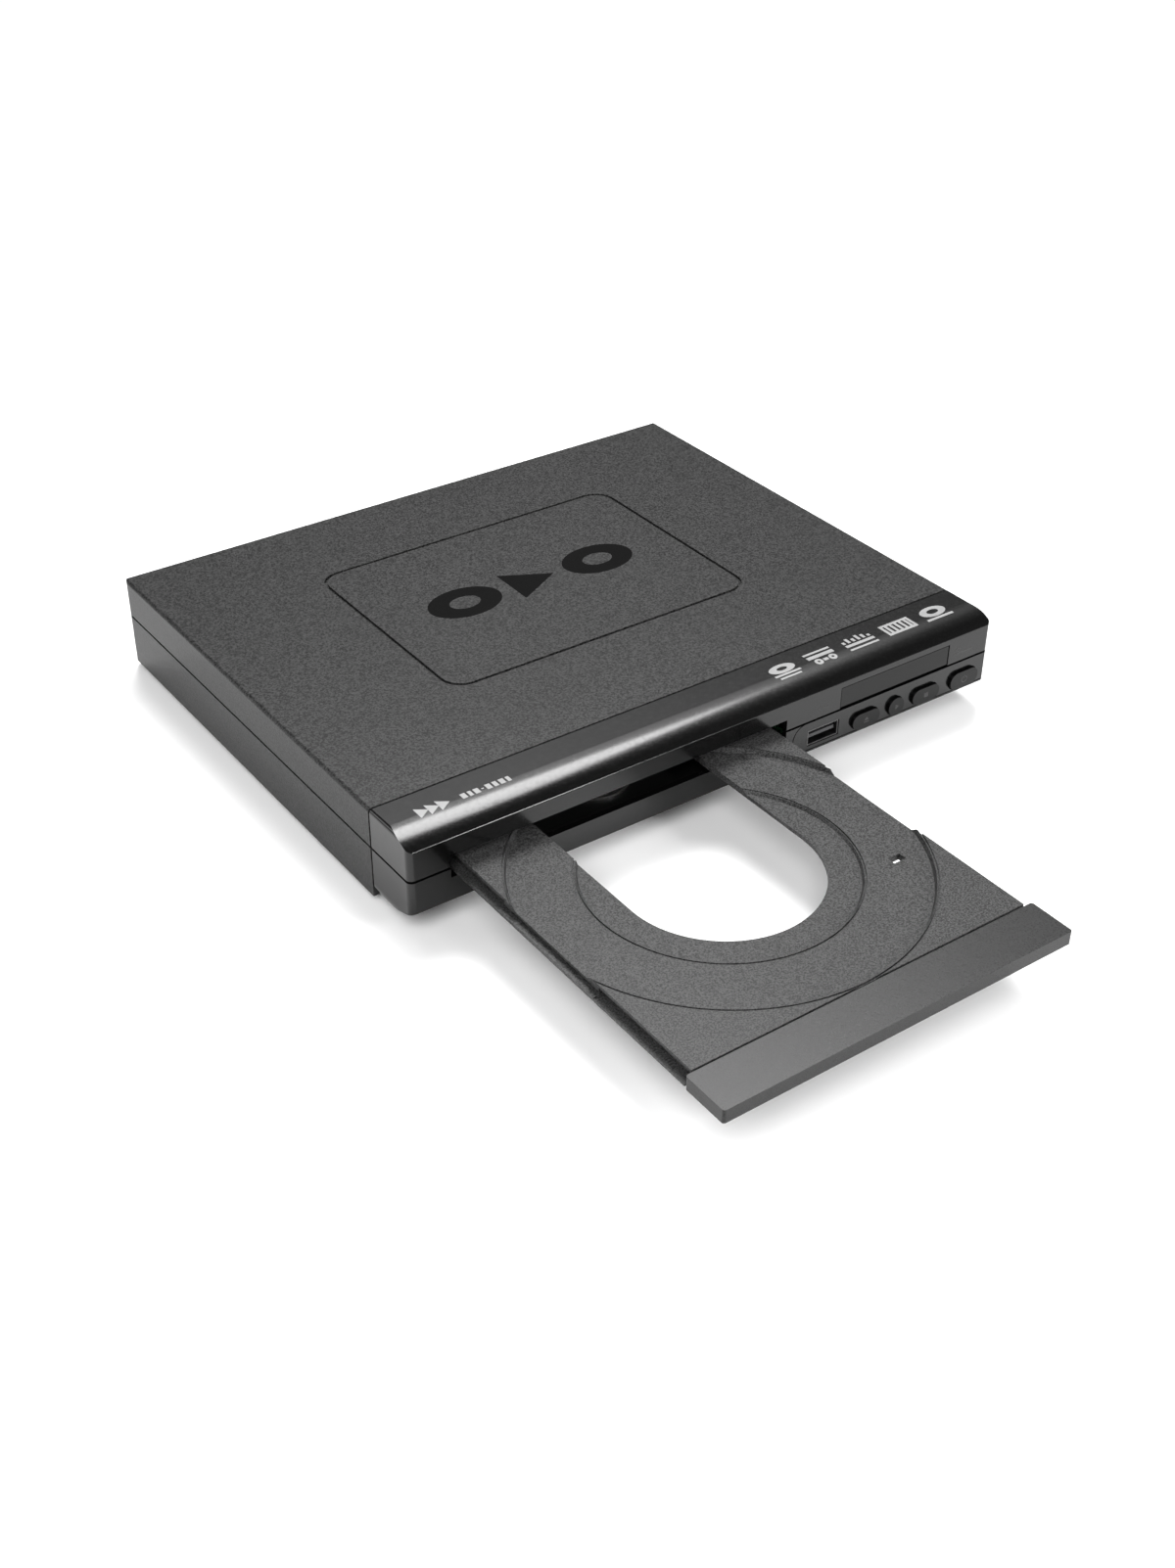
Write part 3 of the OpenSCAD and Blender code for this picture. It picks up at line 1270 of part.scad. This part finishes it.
// Plastic inserts in the barrels, with the holes for the plugs' pins
module phono_inserts() {
    y0 = rear_y + 0.12;
    y1 = body_d - rear_inset + phono_out - 0.7;
    color("white") at_front() for (i = [0:3]) translate([phono_x + i * phono_gap, y0, phono_z])
        rotate([-90, 0, 0]) difference() {
        cylinder(h = y1 - y0, r = phono_r - phono_wall - 0.03, $fn = fn_mid);
        translate([0, 0, 1]) cylinder(h = y1 - y0, r = phono_pin, $fn = fn_small);
    }
}

// Flat ribbon cables between the boards, lying over the boards' edges
module ribbon_cables() {
    z = board_top;
    low = case_z + 13;
    y = front_board_y + board_t;
    long = 24;
    jack_l = power_y1 - jack_y0;
    color("white") at_front() {
        translate([main_x0 + 15 * fit_x, main_y1 - 5, z])
            cube([12 * fit_r, power_y0 - main_y1 + 10, ribbon_t]);
        translate([jack_x1 - 5, jack_y0 + 0.3 * jack_l, z]) cube([main_x0 - jack_x1 + 10, 6, ribbon_t]);
        translate([main_x0 + 39 * fit_x, y, 0]) {
            w = long * fit_r;
            translate([0, 0, low]) cube([w, ribbon_t, 8]);
            translate([0, 0, low]) cube([w, long, ribbon_t]);
            translate([0, long - ribbon_t, z]) cube([w, ribbon_t, low + ribbon_t - z]);
            translate([0, long - ribbon_t, z]) cube([w, 5, ribbon_t]);
        }
    }
}

bottom_case();
top_cover();
front_panel();
lower_panel();
control_strip();
display_window();
eject_button();
play_button();
stop_button();
power_button();
usb_shell();
usb_tongue();
usb_board();
front_board();
tact_switches();
display_module();
infrared_receiver();
rubber_feet();
case_screws();
tray();
tray_door();
loader_frame();
loader_screws();
pinion_wheel();
pulley_gear();
drive_belt();
motor_pulley();
loading_motor();
tray_switch();
cam_slide();
traverse();
traverse_dampers();
spindle_motor();
turntable();
pickup();
pickup_lens();
guide_rods();
feed_wheel();
feed_motor();
feed_motor_gear();
clamp_bridge();
clamper();
clamp_magnet();
main_board();
decoder_chip();
heat_sink();
board_chips();
board_screws();
power_board();
transformer();
filter_capacitors();
regulator_sink();
mains_fuse();
mains_inlet();
rear_panel();
jack_board();
phono_block();
phono_barrels();
phono_inserts();
ribbon_cables();
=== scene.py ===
import bpy
import numpy as np
from mathutils import Matrix, Vector


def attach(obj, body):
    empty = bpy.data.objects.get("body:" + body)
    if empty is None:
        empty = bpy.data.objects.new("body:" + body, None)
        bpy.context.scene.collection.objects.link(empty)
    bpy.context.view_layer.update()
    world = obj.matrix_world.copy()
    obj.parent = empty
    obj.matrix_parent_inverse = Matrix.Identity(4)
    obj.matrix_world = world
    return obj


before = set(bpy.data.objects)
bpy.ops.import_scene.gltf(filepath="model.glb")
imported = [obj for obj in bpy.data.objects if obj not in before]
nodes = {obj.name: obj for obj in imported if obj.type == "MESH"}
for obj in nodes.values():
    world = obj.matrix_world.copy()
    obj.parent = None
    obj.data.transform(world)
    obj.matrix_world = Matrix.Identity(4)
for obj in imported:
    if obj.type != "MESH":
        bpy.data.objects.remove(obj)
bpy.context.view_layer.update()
mm = 0.001
frontY = -36.25  # front face in the frame, in mm
print("frame loaded")


def newMaterial(name):
    mat = bpy.data.materials.new(name)
    mat.use_nodes = True
    tree = mat.node_tree
    shader = tree.nodes["Principled BSDF"]
    place = tree.nodes.new("ShaderNodeTexCoord")
    return mat, tree, shader, place


def noise(tree, place, scale, detail=3.0, rough=0.6):
    node = tree.nodes.new("ShaderNodeTexNoise")
    node.inputs["Scale"].default_value = scale
    node.inputs["Detail"].default_value = detail
    node.inputs["Roughness"].default_value = rough
    tree.links.new(place.outputs["Object"], node.inputs["Vector"])
    return node


# Each stop is a place from 0 to 1 with a grey or a colour
def ramp(tree, source, stops):
    node = tree.nodes.new("ShaderNodeValToRGB")
    while len(node.color_ramp.elements) < len(stops):
        node.color_ramp.elements.new(0.5)
    for element, (position, tone) in zip(node.color_ramp.elements, stops):
        element.position = position
        element.color = (tone, tone, tone, 1) if isinstance(tone, (int, float)) else (*tone, 1)
    tree.links.new(source, node.inputs["Fac"])
    return node


def bump(tree, source, strength, distance):
    node = tree.nodes.new("ShaderNodeBump")
    node.inputs["Strength"].default_value = strength
    node.inputs["Distance"].default_value = distance
    tree.links.new(source, node.inputs["Height"])
    return node


# Leads colour, roughness and relief to the shader
def wire(tree, shader, tone, rough, relief=None):
    tree.links.new(tone, shader.inputs["Base Color"])
    tree.links.new(rough.outputs["Color"], shader.inputs["Roughness"])
    if relief:
        tree.links.new(relief.outputs["Normal"], shader.inputs["Normal"])


def darker(color, share):
    return tuple(c * share for c in color)


usualSpec = 0.5  # specular level of a plastic that states none


grainShape = {"driftScale": 14.0, "drift": (0.94, 1.06), "roughSpread": 0.06, "depth": 0.00012}


# Moulded plastic: fine spark erosion grain, speckled tone and slow variation of colour
def grainPlastic(name, v):
    mat, tree, shader, place = newMaterial(name)
    fine = noise(tree, place, v["grainScale"], rough=0.7)
    slow = noise(tree, place, grainShape["driftScale"])
    lo, hi = v["tones"]
    low, high = grainShape["drift"]
    speck = ramp(tree, fine.outputs["Fac"], [(0.4, lo), (0.5, (lo + hi) / 2), (0.6, hi)])
    drift = ramp(tree, slow.outputs["Fac"], [(0.3, low), (0.7, high)])
    mix = tree.nodes.new("ShaderNodeMix")
    mix.data_type = "RGBA"
    mix.blend_type = "MULTIPLY"
    mix.inputs["Factor"].default_value = 1.0
    tree.links.new(speck.outputs["Color"], mix.inputs[6])  # 6 and 7 are the two colours to mix
    tree.links.new(drift.outputs["Color"], mix.inputs[7])
    spread = grainShape["roughSpread"]
    rough = ramp(tree, fine.outputs["Fac"], [(0.3, v["rough"] - spread), (0.7, v["rough"] + spread)])
    relief = bump(tree, fine.outputs["Fac"], v["bump"], grainShape["depth"])
    wire(tree, shader, mix.outputs[2], rough, relief)  # output 2 is the mixed colour
    shader.inputs["Specular IOR Level"].default_value = v.get("spec", usualSpec)
    return mat


glossShape = {"flowScale": 30.0, "dustScale": 900.0, "dust": 0.1, "depth": 0.0004}


# Polished plastic with faint flow lines and dust in its roughness
def glossPlastic(name, v):
    mat, tree, shader, place = newMaterial(name)
    flow = noise(tree, place, glossShape["flowScale"], detail=4.0)
    dust = noise(tree, place, glossShape["dustScale"], detail=2.0, rough=0.8)
    lo, hi = v["tones"]
    tone = ramp(tree, flow.outputs["Fac"], [(0.3, lo), (0.7, hi)])
    dusty = v["rough"] + v.get("dust", glossShape["dust"])
    rough = ramp(tree, dust.outputs["Fac"], [(0.45, v["rough"]), (0.78, dusty)])
    relief = bump(tree, flow.outputs["Fac"], v["bump"], glossShape["depth"])
    wire(tree, shader, tone.outputs["Color"], rough, relief)
    shader.inputs["Specular IOR Level"].default_value = v["spec"]
    return mat


metalShape = {"scale": 400.0, "stretch": (1, 12, 12), "shade": 0.85, "roughSpread": 0.12}


# Brushed or rolled metal with fine streaks
def metal(name, v):
    mat, tree, shader, place = newMaterial(name)
    stretch = tree.nodes.new("ShaderNodeMapping")
    stretch.inputs["Scale"].default_value = v.get("stretch", metalShape["stretch"])
    tree.links.new(place.outputs["Object"], stretch.inputs["Vector"])
    streak = noise(tree, place, metalShape["scale"], detail=4.0)
    tree.links.new(stretch.outputs["Vector"], streak.inputs["Vector"])
    base = v["color"]
    tone = ramp(tree, streak.outputs["Fac"], [(0.3, darker(base, metalShape["shade"])), (0.7, base)])
    worn = v["rough"] + metalShape["roughSpread"]
    rough = ramp(tree, streak.outputs["Fac"], [(0.3, v["rough"]), (0.7, worn)])
    wire(tree, shader, tone.outputs["Color"], rough)
    shader.inputs["Metallic"].default_value = 1.0
    return mat


plainShape = {"scale": 300.0, "shade": 0.86, "roughSpread": 0.05, "bump": 0.1, "depth": 0.0001}


# Coloured plain plastic, card or lacquer with a little grain
def plainPlastic(name, v):
    mat, tree, shader, place = newMaterial(name)
    grain = noise(tree, place, v.get("scale", plainShape["scale"]))
    base = v["color"]
    tone = ramp(tree, grain.outputs["Fac"], [(0.3, darker(base, plainShape["shade"])), (0.7, base)])
    spread = plainShape["roughSpread"]
    rough = ramp(tree, grain.outputs["Fac"], [(0.3, v["rough"] - spread), (0.7, v["rough"] + spread)])
    relief = bump(tree, grain.outputs["Fac"], v.get("bump", plainShape["bump"]), plainShape["depth"])
    wire(tree, shader, tone.outputs["Color"], rough, relief)
    shader.inputs["Specular IOR Level"].default_value = v.get("spec", usualSpec)
    if v.get("clear"):
        shader.inputs["Transmission Weight"].default_value = v["clear"]
    return mat


finishes = {
    "caseGrey": (grainPlastic, {"grainScale": 1500.0, "tones": (0.003, 0.036), "rough": 0.36,
        "bump": 0.5, "spec": 0.17}),
    "trayGrey": (grainPlastic, {"grainScale": 2000.0, "tones": (0.01, 0.06), "rough": 0.36,
        "bump": 0.3, "spec": 0.13}),
    "doorGrey": (grainPlastic, {"grainScale": 2200.0, "tones": (0.01, 0.017), "rough": 0.3,
        "bump": 0.12, "spec": 0.22}),
    "rearGrey": (grainPlastic, {"grainScale": 900.0, "tones": (0.012, 0.025), "rough": 0.55,
        "bump": 0.3}),
    "panelBlack": (glossPlastic, {"tones": (0.001, 0.002), "rough": 0.16, "bump": 0.02, "spec": 0.36}),
    "windowSmoke": (glossPlastic, {"tones": (0.004, 0.006), "rough": 0.04, "bump": 0.01,
        "dust": 0.05, "spec": 0.17}),
    "capBlack": (glossPlastic, {"tones": (0.001, 0.002), "rough": 0.18, "bump": 0.02, "spec": 0.18}),
    "innerBlack": (plainPlastic, {"color": (0.006, 0.006, 0.006), "rough": 0.5, "scale": 900.0,
        "spec": 0.15}),
    "gearWhite": (plainPlastic, {"color": (0.72, 0.71, 0.66), "rough": 0.4}),
    "whitePlastic": (plainPlastic, {"color": (0.8, 0.8, 0.78), "rough": 0.4}),
    "chipBlack": (plainPlastic, {"color": (0.022, 0.022, 0.023), "rough": 0.45, "scale": 800.0}),
    "rubber": (plainPlastic, {"color": (0.02, 0.02, 0.02), "rough": 0.75, "scale": 700.0, "bump": 0.3}),
    "board": (plainPlastic, {"color": (0.03, 0.11, 0.045), "rough": 0.35, "scale": 160.0}),
    "tape": (plainPlastic, {"color": (0.65, 0.52, 0.16), "rough": 0.35, "scale": 90.0}),
    "sleeve": (plainPlastic, {"color": (0.02, 0.025, 0.06), "rough": 0.25, "scale": 80.0}),
    "steel": (metal, {"color": (0.62, 0.62, 0.61), "rough": 0.28}),
    "plated": (metal, {"color": (0.7, 0.7, 0.69), "rough": 0.18, "stretch": (1, 1, 1)}),
    "socketMetal": (metal, {"color": (0.12, 0.12, 0.12), "rough": 0.3, "stretch": (1, 1, 1)}),
    "aluminium": (metal, {"color": (0.75, 0.75, 0.76), "rough": 0.35}),
    "brass": (metal, {"color": (0.75, 0.55, 0.22), "rough": 0.25}),
    "fuseGlass": (plainPlastic, {"color": (0.85, 0.86, 0.85), "rough": 0.12, "clear": 0.7}),
    "lens": (plainPlastic, {"color": (0.55, 0.5, 0.85), "rough": 0.06, "clear": 0.6, "bump": 0.0}),
    "printWhite": (plainPlastic, {"color": (0.26, 0.26, 0.26), "rough": 0.45, "bump": 0.02}),
    "printDim": (plainPlastic, {"color": (0.004, 0.004, 0.004), "rough": 0.45, "bump": 0.02}),
    "badgeBlack": (glossPlastic, {"tones": (0.004, 0.005), "rough": 0.5, "bump": 0.02, "spec": 0.015}),
}
looks = {name: make(name, values) for name, (make, values) in finishes.items()}
wearing = {
    "caseGrey": ["bottom_case", "top_cover"],
    "trayGrey": ["tray"],
    "doorGrey": ["tray_door"],
    "rearGrey": ["rear_panel"],
    "panelBlack": ["front_panel", "lower_panel", "control_strip"],
    "windowSmoke": ["display_window"],
    "capBlack": ["eject_button", "play_button", "stop_button", "power_button"],
    "innerBlack": ["loader_frame", "traverse", "turntable", "pickup", "clamp_bridge", "clamper"],
    "gearWhite": ["pinion_wheel", "pulley_gear", "motor_pulley", "cam_slide", "feed_wheel"],
    "whitePlastic": ["display_module", "ribbon_cables", "phono_inserts"],
    "chipBlack": ["usb_tongue", "tact_switches", "infrared_receiver", "tray_switch", "decoder_chip",
        "board_chips", "mains_inlet", "phono_block"],
    "rubber": ["rubber_feet", "drive_belt", "traverse_dampers"],
    "board": ["usb_board", "front_board", "main_board", "power_board", "jack_board"],
    "tape": ["transformer"],
    "sleeve": ["filter_capacitors"],
    "steel": ["case_screws", "loader_screws", "loading_motor", "spindle_motor", "guide_rods", "feed_motor",
        "clamp_magnet", "board_screws"],
    "plated": ["phono_barrels"],
    "socketMetal": ["usb_shell"],
    "aluminium": ["heat_sink", "regulator_sink"],
    "brass": ["feed_motor_gear"],
    "fuseGlass": ["mains_fuse"],
    "lens": ["pickup_lens"],
}
for look, names in wearing.items():
    for name in names:
        ob = nodes[name]
        if not ob.material_slots:
            ob.data.materials.append(None)
        for slot in ob.material_slots:
            slot.material = looks[look]
print("materials set")


sheet = {"rise": 0.03, "faceRise": 0.02, "sink": 0.02}  # heights over and under the surface, in mm


# Thin closed sheet for each flat outline f(u, v), with u and v from 0 to 1;
# lay(points, height) puts it on a surface
def printPiece(name, shapes, lay, look, body, rise=sheet["rise"]):
    points, faces = [], []
    for f, nu, nv, wraps in shapes:
        u, v = np.meshgrid(np.linspace(0, 1, nu + 1), np.linspace(0, 1, nv + 1), indexing="ij")
        flat = f(u, v)
        if wraps:
            flat = flat[:-1]
        rows, cols = flat.shape[0], flat.shape[1]
        a, b, c = flat[0, 0], flat[1, 0], flat[0, 1]
        turn = (b[0] - a[0]) * (c[1] - a[1]) - (b[1] - a[1]) * (c[0] - a[0])
        base = len(points)
        flatList = flat.reshape(-1, 2)
        points += list(lay(flatList, rise)) + list(lay(flatList, -sheet["sink"]))
        half = rows * cols
        at = lambda i, j, low: base + (i % rows) * cols + j + (half if low else 0)
        quads = []
        last = rows if wraps else rows - 1
        for i in range(last):
            for j in range(cols - 1):
                quads.append([at(i, j, 0), at(i + 1, j, 0), at(i + 1, j + 1, 0), at(i, j + 1, 0)])
                quads.append([at(i, j + 1, 1), at(i + 1, j + 1, 1), at(i + 1, j, 1), at(i, j, 1)])
            for j, flip in ((0, 0), (cols - 1, 1)):
                q = [at(i, j, 1), at(i + 1, j, 1), at(i + 1, j, 0), at(i, j, 0)]
                quads.append(q[::-1] if flip else q)
        if not wraps:
            for j in range(cols - 1):
                quads.append([at(0, j, 0), at(0, j + 1, 0), at(0, j + 1, 1), at(0, j, 1)])
                quads.append([at(last, j, 1), at(last, j + 1, 1), at(last, j + 1, 0), at(last, j, 0)])
        faces += [q if turn > 0 else q[::-1] for q in quads]
    mesh = bpy.data.meshes.new(name)
    mesh.from_pydata([tuple(float(c) * mm for c in p) for p in points], [], faces)
    mesh.update()
    ob = bpy.data.objects.new(name, mesh)
    bpy.context.scene.collection.objects.link(ob)
    mesh.materials.append(looks[look])
    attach(ob, body)
    return ob


# The outlines below come as (formula, steps along u, steps along v, whether u closes on itself)
def bar(x0, y0, x1, y1, n=6):
    f = lambda u, v: np.stack([x0 + (x1 - x0) * u, y0 + (y1 - y0) * v], axis=-1)
    return f, n, n, False


def around(x, y, rx, ry, angle):
    return np.stack([x + rx * np.cos(angle), y + ry * np.sin(angle)], axis=-1)


# A ring is a circle whose radius goes from r0 to r1 with v
def ring(x, y, r0, r1, n=24):
    f = lambda u, v: around(x, y, r0 + (r1 - r0) * v, r0 + (r1 - r0) * v, 2 * np.pi * u)
    return f, n, 2, True


def arc(x, y, r0, r1, a0, a1, n=32):
    f = lambda u, v: around(x, y, r0 + (r1 - r0) * v, r0 + (r1 - r0) * v, np.radians(a0 + (a1 - a0) * u))
    return f, n, 2, False


# A triangle that opens from a to the side from b to c; it starts a little off a, so that no face is a line
def wedge(a, b, c, n=4):
    start, spread = 0.02, 0.999
    a, b, c = (np.array(p, float) for p in (a, b, c))
    opened = lambda u, v: (a + (b - a) * u[..., None] + (c - b) * (u * v)[..., None] * spread)
    f = lambda u, v: opened(u * (1 - start) + start, v)
    return f, n, n, False


# Four bars of width w as a frame
def frameBars(x0, y0, x1, y1, w):
    level = [bar(x0, y0, x1, y0 + w), bar(x0, y1 - w, x1, y1)]
    return level + [bar(x0, y0 + w, x0 + w, y1 - w), bar(x1 - w, y0 + w, x1, y1 - w)]


# Bars centred on x, each as (reach to either side, lower edge, upper edge)
def lineRows(x, y, sizes):
    return [bar(x - reach, y + low, x + reach, y + high) for reach, low, high in sizes]


rollSpec = {"top": 33.8, "radius": 20.0, "apex": 11.0}


# Height of the rolled edge: an arc of 20 mm radius up to its apex, then level
def onRoll(p, h):
    p = np.asarray(p)
    d = np.minimum(p[:, 1] - frontY - rollSpec["apex"], 0)
    z = rollSpec["top"] - rollSpec["radius"] + np.sqrt(rollSpec["radius"] ** 2 - d ** 2)
    return np.stack([p[:, 0], p[:, 1], z + h], axis=1)


coverTop = 33.7  # upper face of the cover, in mm


def onTop(p, h):
    p = np.asarray(p)
    return np.stack([p[:, 0], p[:, 1], np.full(len(p), coverTop + h)], axis=1)


# A plane that faces the front, at a depth behind the front face
def onFace(depth):
    def lay(p, h):
        p = np.asarray(p)
        return np.stack([p[:, 0], np.full(len(p), frontY + depth - h), p[:, 1]], axis=1)
    return lay


def ellipseRing(x, y, rx, ry, hole, n=72):
    f = lambda u, v: around(x, y, rx * (hole + (1 - hole) * v), ry * (hole + (1 - hole) * v), 2 * np.pi * u)
    return f, n, 3, True


def badgeShapes():
    v = {"x": 0.9, "y": 70.2, "reach": 27.0, "rx": 13.5, "ry": 9.3, "hole": 0.42, "play": (8.6, 9.2)}
    px, py = v["play"]
    centres = (v["x"] - v["reach"], v["x"] + v["reach"])
    rings = [ellipseRing(x, v["y"], v["rx"], v["ry"], v["hole"]) for x in centres]
    return rings + [wedge((v["x"] - px, v["y"] - py), (v["x"] + px, v["y"]), (v["x"] - px, v["y"] + py), 8)]


# Disc over two lines
def discMark(x, y):
    v = {"up": 1.2, "rx": 5.0, "ry": 2.4, "hole": 0.4, "lines": ((5.2, -2.4, -1.5), (4.2, -3.9, -3.2))}
    return [ellipseRing(x, y + v["up"], v["rx"], v["ry"], v["hole"])] + lineRows(x, y, v["lines"])


# Two lines over a short bar between two rings
def linesMark(x, y):
    v = {"lines": ((5.4, 2.5, 3.4), (5.4, -0.1, 1.5)), "apart": 2.9, "down": 2.2, "radii": (0.5, 1.5),
        "middle": ((0.9, -2.8, -1.5),)}
    rings = [ring(x + side * v["apart"], y - v["down"], *v["radii"]) for side in (-1, 1)]
    return lineRows(x, y, v["lines"]) + rings + lineRows(x, y, v["middle"])


# Level bars over two lines
def levelsMark(x, y):
    v = {"start": 5.8, "end": 4.7, "pitch": 2.1, "foot": 0.9, "heights": (1.4, 2.6, 1.8, 2.9, 2.2, 1.2),
        "lines": ((6, -1.2, 0.1), (6, -3.2, -2.4))}
    out = []
    for k, height in enumerate(v["heights"]):
        left, right = x - v["start"] + v["pitch"] * k, x - v["end"] + v["pitch"] * k
        out.append(bar(left, y + v["foot"], right, y + v["foot"] + height))
    return out + lineRows(x, y, v["lines"])


# Frame with upright bars in it
def plateMark(x, y):
    v = {"reach": (6.2, 3.2), "edge": 1.1, "start": 4.4, "end": 3.3, "pitch": 2.0, "half": 2.1, "bars": 5}
    rx, ry = v["reach"]
    out = frameBars(x - rx, y - ry, x + rx, y + ry, v["edge"])
    for k in range(v["bars"]):
        left, right = x - v["start"] + v["pitch"] * k, x - v["end"] + v["pitch"] * k
        out.append(bar(left, y - v["half"], right, y + v["half"]))
    return out


# Disc over one line
def plainDiscMark(x, y):
    v = {"up": 0.8, "rx": 5.2, "ry": 2.9, "hole": 0.45, "lines": ((5.6, -3.6, -2.6),)}
    return [ellipseRing(x, y + v["up"], v["rx"], v["ry"], v["hole"])] + lineRows(x, y, v["lines"])


rollMarks = {"back": 12.2, "places": ((discMark, 33.0), (linesMark, 48.5), (levelsMark, 64.5),
    (plateMark, 81.5), (plainDiscMark, 97.5))}


def rollShapes():
    return [shape for mark, x in rollMarks["places"] for shape in mark(x, rollMarks["back"] + frontY)]


def leftMarks():
    v = {"back": 11.5, "wedges": (-102.3, -98.8, -95.3), "length": 3.8, "half": 2.5,
        "start": -87.6, "gap": 0.75, "widths": (1.7, 1.2, 1.7, 0.8, 1.7, 1.4, 1.7, 1.2),
        "bar": (1.2, 1.2), "dash": (0.2, 0.3), "dashAt": 3}
    y = v["back"] + frontY
    out = [wedge((x, y - v["half"]), (x + v["length"], y), (x, y + v["half"]), 6) for x in v["wedges"]]
    x = v["start"]
    for k, width in enumerate(v["widths"]):
        below, above = v["dash"] if k == v["dashAt"] else v["bar"]
        out.append(bar(x, y - below, x + width, y + above, 3))
        x += width + v["gap"]
    return out


printPiece("badge_motif", badgeShapes(), onTop, "badgeBlack", "player")
printPiece("format_marks", rollShapes(), onRoll, "printWhite", "player")
printPiece("left_marks", leftMarks(), onRoll, "printWhite", "player")
windowMarks = [bar(37.6, 23.6, 41.4, 24.2), bar(96.6, 23.5, 104.8, 24.1), ring(98.0, 25.4, 0.35, 0.7)]
printPiece("window_marks", windowMarks, onFace(0.0), "printDim", "player", sheet["faceRise"])
capZ = 13.3  # height of the buttons' centres, in mm
capDepth = -1.1  # depth of the caps' faces behind the front face, in mm; below 0 they stand before it
capMarks = {
    "eject_button": [wedge((57.0, capZ - 0.3), (58.1, capZ + 1.1), (59.2, capZ - 0.3)),
        bar(57.0, capZ - 1.1, 59.2, capZ - 0.7)],
    "play_button": [wedge((70.6, capZ - 1.1), (72.2, capZ), (70.6, capZ + 1.1))],
    "stop_button": [bar(83.4, capZ - 0.9, 85.2, capZ + 0.9)],
    "power_button": [arc(101.6, capZ, 1.0, 1.3, -240, 60), bar(101.46, capZ + 0.2, 101.74, capZ + 1.5)],
}
for owner, shapes in capMarks.items():
    printPiece(owner + "_mark", shapes, onFace(capDepth), "printDim", owner.split("_")[0], sheet["faceRise"])
print("prints set")


camSpec = {"at": (-0.323674, -0.416962, 0.353876), "lens": 44.84, "sensor": 36.0, "near": 0.01,
    "rows": (
    (0.815888, 0.324802, -0.478362), (-0.578181, 0.466584, -0.669332), (0.005796, 0.82268, 0.568475))}
camData = bpy.data.cameras.new("camera")
camData.sensor_fit = "AUTO"
camData.sensor_width = camSpec["sensor"]
camData.lens = camSpec["lens"]
camData.clip_start = camSpec["near"]
cam = bpy.data.objects.new("camera", camData)
bpy.context.scene.collection.objects.link(cam)
turned = Matrix(camSpec["rows"]).to_4x4()
cam.matrix_world = Matrix.Translation(Vector(camSpec["at"])) @ turned
bpy.context.scene.camera = cam
print("camera set")


def floorPlane():
    v = {"reach": 3.0, "tone": 0.95, "rough": 0.7}
    size = v["reach"]
    mesh = bpy.data.meshes.new("floor")
    corners = [(-size, -size, 0), (size, -size, 0), (size, size, 0), (-size, size, 0)]
    mesh.from_pydata(corners, [], [(0, 1, 2, 3)])
    ob = bpy.data.objects.new("floor", mesh)
    bpy.context.scene.collection.objects.link(ob)
    mat, tree, shader, place = newMaterial("floorPale")
    shader.inputs["Base Color"].default_value = (v["tone"], v["tone"], v["tone"], 1)
    shader.inputs["Roughness"].default_value = v["rough"]
    mesh.materials.append(mat)
    return ob


def softLight(name, spec):
    data = bpy.data.lights.new(name, "AREA")
    data.shape = "RECTANGLE"
    data.size, data.size_y = spec["size"]
    data.energy = spec["power"]
    ob = bpy.data.objects.new(name, data)
    ob.location = spec["at"]
    aim = Vector(spec["aim"]) - Vector(spec["at"])
    ob.rotation_euler = aim.to_track_quat("-Z", "Y").to_euler()
    bpy.context.scene.collection.objects.link(ob)
    return ob


floorPlane()
lights = {
    "keyLight": {"size": (0.7, 0.46), "power": 17.5, "at": (0.363, 0.52, 1.14), "aim": (0, 0, 0)},
    "frontLight": {"size": (0.13, 0.45), "power": 9.0, "at": (0.40, -0.93, 0.45), "aim": (0, 0, 0)},
    "fillLight": {"size": (0.5, 0.4), "power": 4.4, "at": (-0.42, -0.38, 0.54), "aim": (0, 0, 0)},
    "sideLight": {"size": (0.3, 0.3), "power": 0.8, "at": (-0.55, 0.42, 0.3), "aim": (-0.11, 0.1, 0.02)},
}
for name, spec in lights.items():
    softLight(name, spec)


# Dim surroundings with a soft glow round one direction;
# plain white where the camera looks past the object
def surroundings(v):
    world = bpy.data.worlds.new("world")
    bpy.context.scene.world = world
    world.use_nodes = True
    tree = world.node_tree
    tree.nodes.clear()
    place = tree.nodes.new("ShaderNodeTexCoord")
    toward = tree.nodes.new("ShaderNodeVectorMath")
    toward.operation = "DOT_PRODUCT"
    toward.inputs[1].default_value = v["toward"]
    tree.links.new(place.outputs["Generated"], toward.inputs[0])
    glow = ramp(tree, toward.outputs["Value"], v["glow"])
    dim = tree.nodes.new("ShaderNodeBackground")
    dim.inputs["Strength"].default_value = v["strength"]
    tree.links.new(glow.outputs["Color"], dim.inputs["Color"])
    bright = tree.nodes.new("ShaderNodeBackground")
    bright.inputs["Color"].default_value = (1, 1, 1, 1)
    path = tree.nodes.new("ShaderNodeLightPath")
    mix = tree.nodes.new("ShaderNodeMixShader")
    out = tree.nodes.new("ShaderNodeOutputWorld")
    tree.links.new(path.outputs["Is Camera Ray"], mix.inputs["Fac"])
    tree.links.new(dim.outputs["Background"], mix.inputs[1])
    tree.links.new(bright.outputs["Background"], mix.inputs[2])
    tree.links.new(mix.outputs["Shader"], out.inputs["Surface"])


surroundings({"toward": (0.353, 0.504, 0.788), "strength": 4.0,
    "glow": [(0.0, 0.09), (0.6, 0.06), (0.85, 0.03), (0.925, 0.09), (0.945, 0.24), (0.965, 0.55),
        (1.0, 1.0)]})
bpy.context.scene.view_settings.view_transform = "Standard"
print("light set")
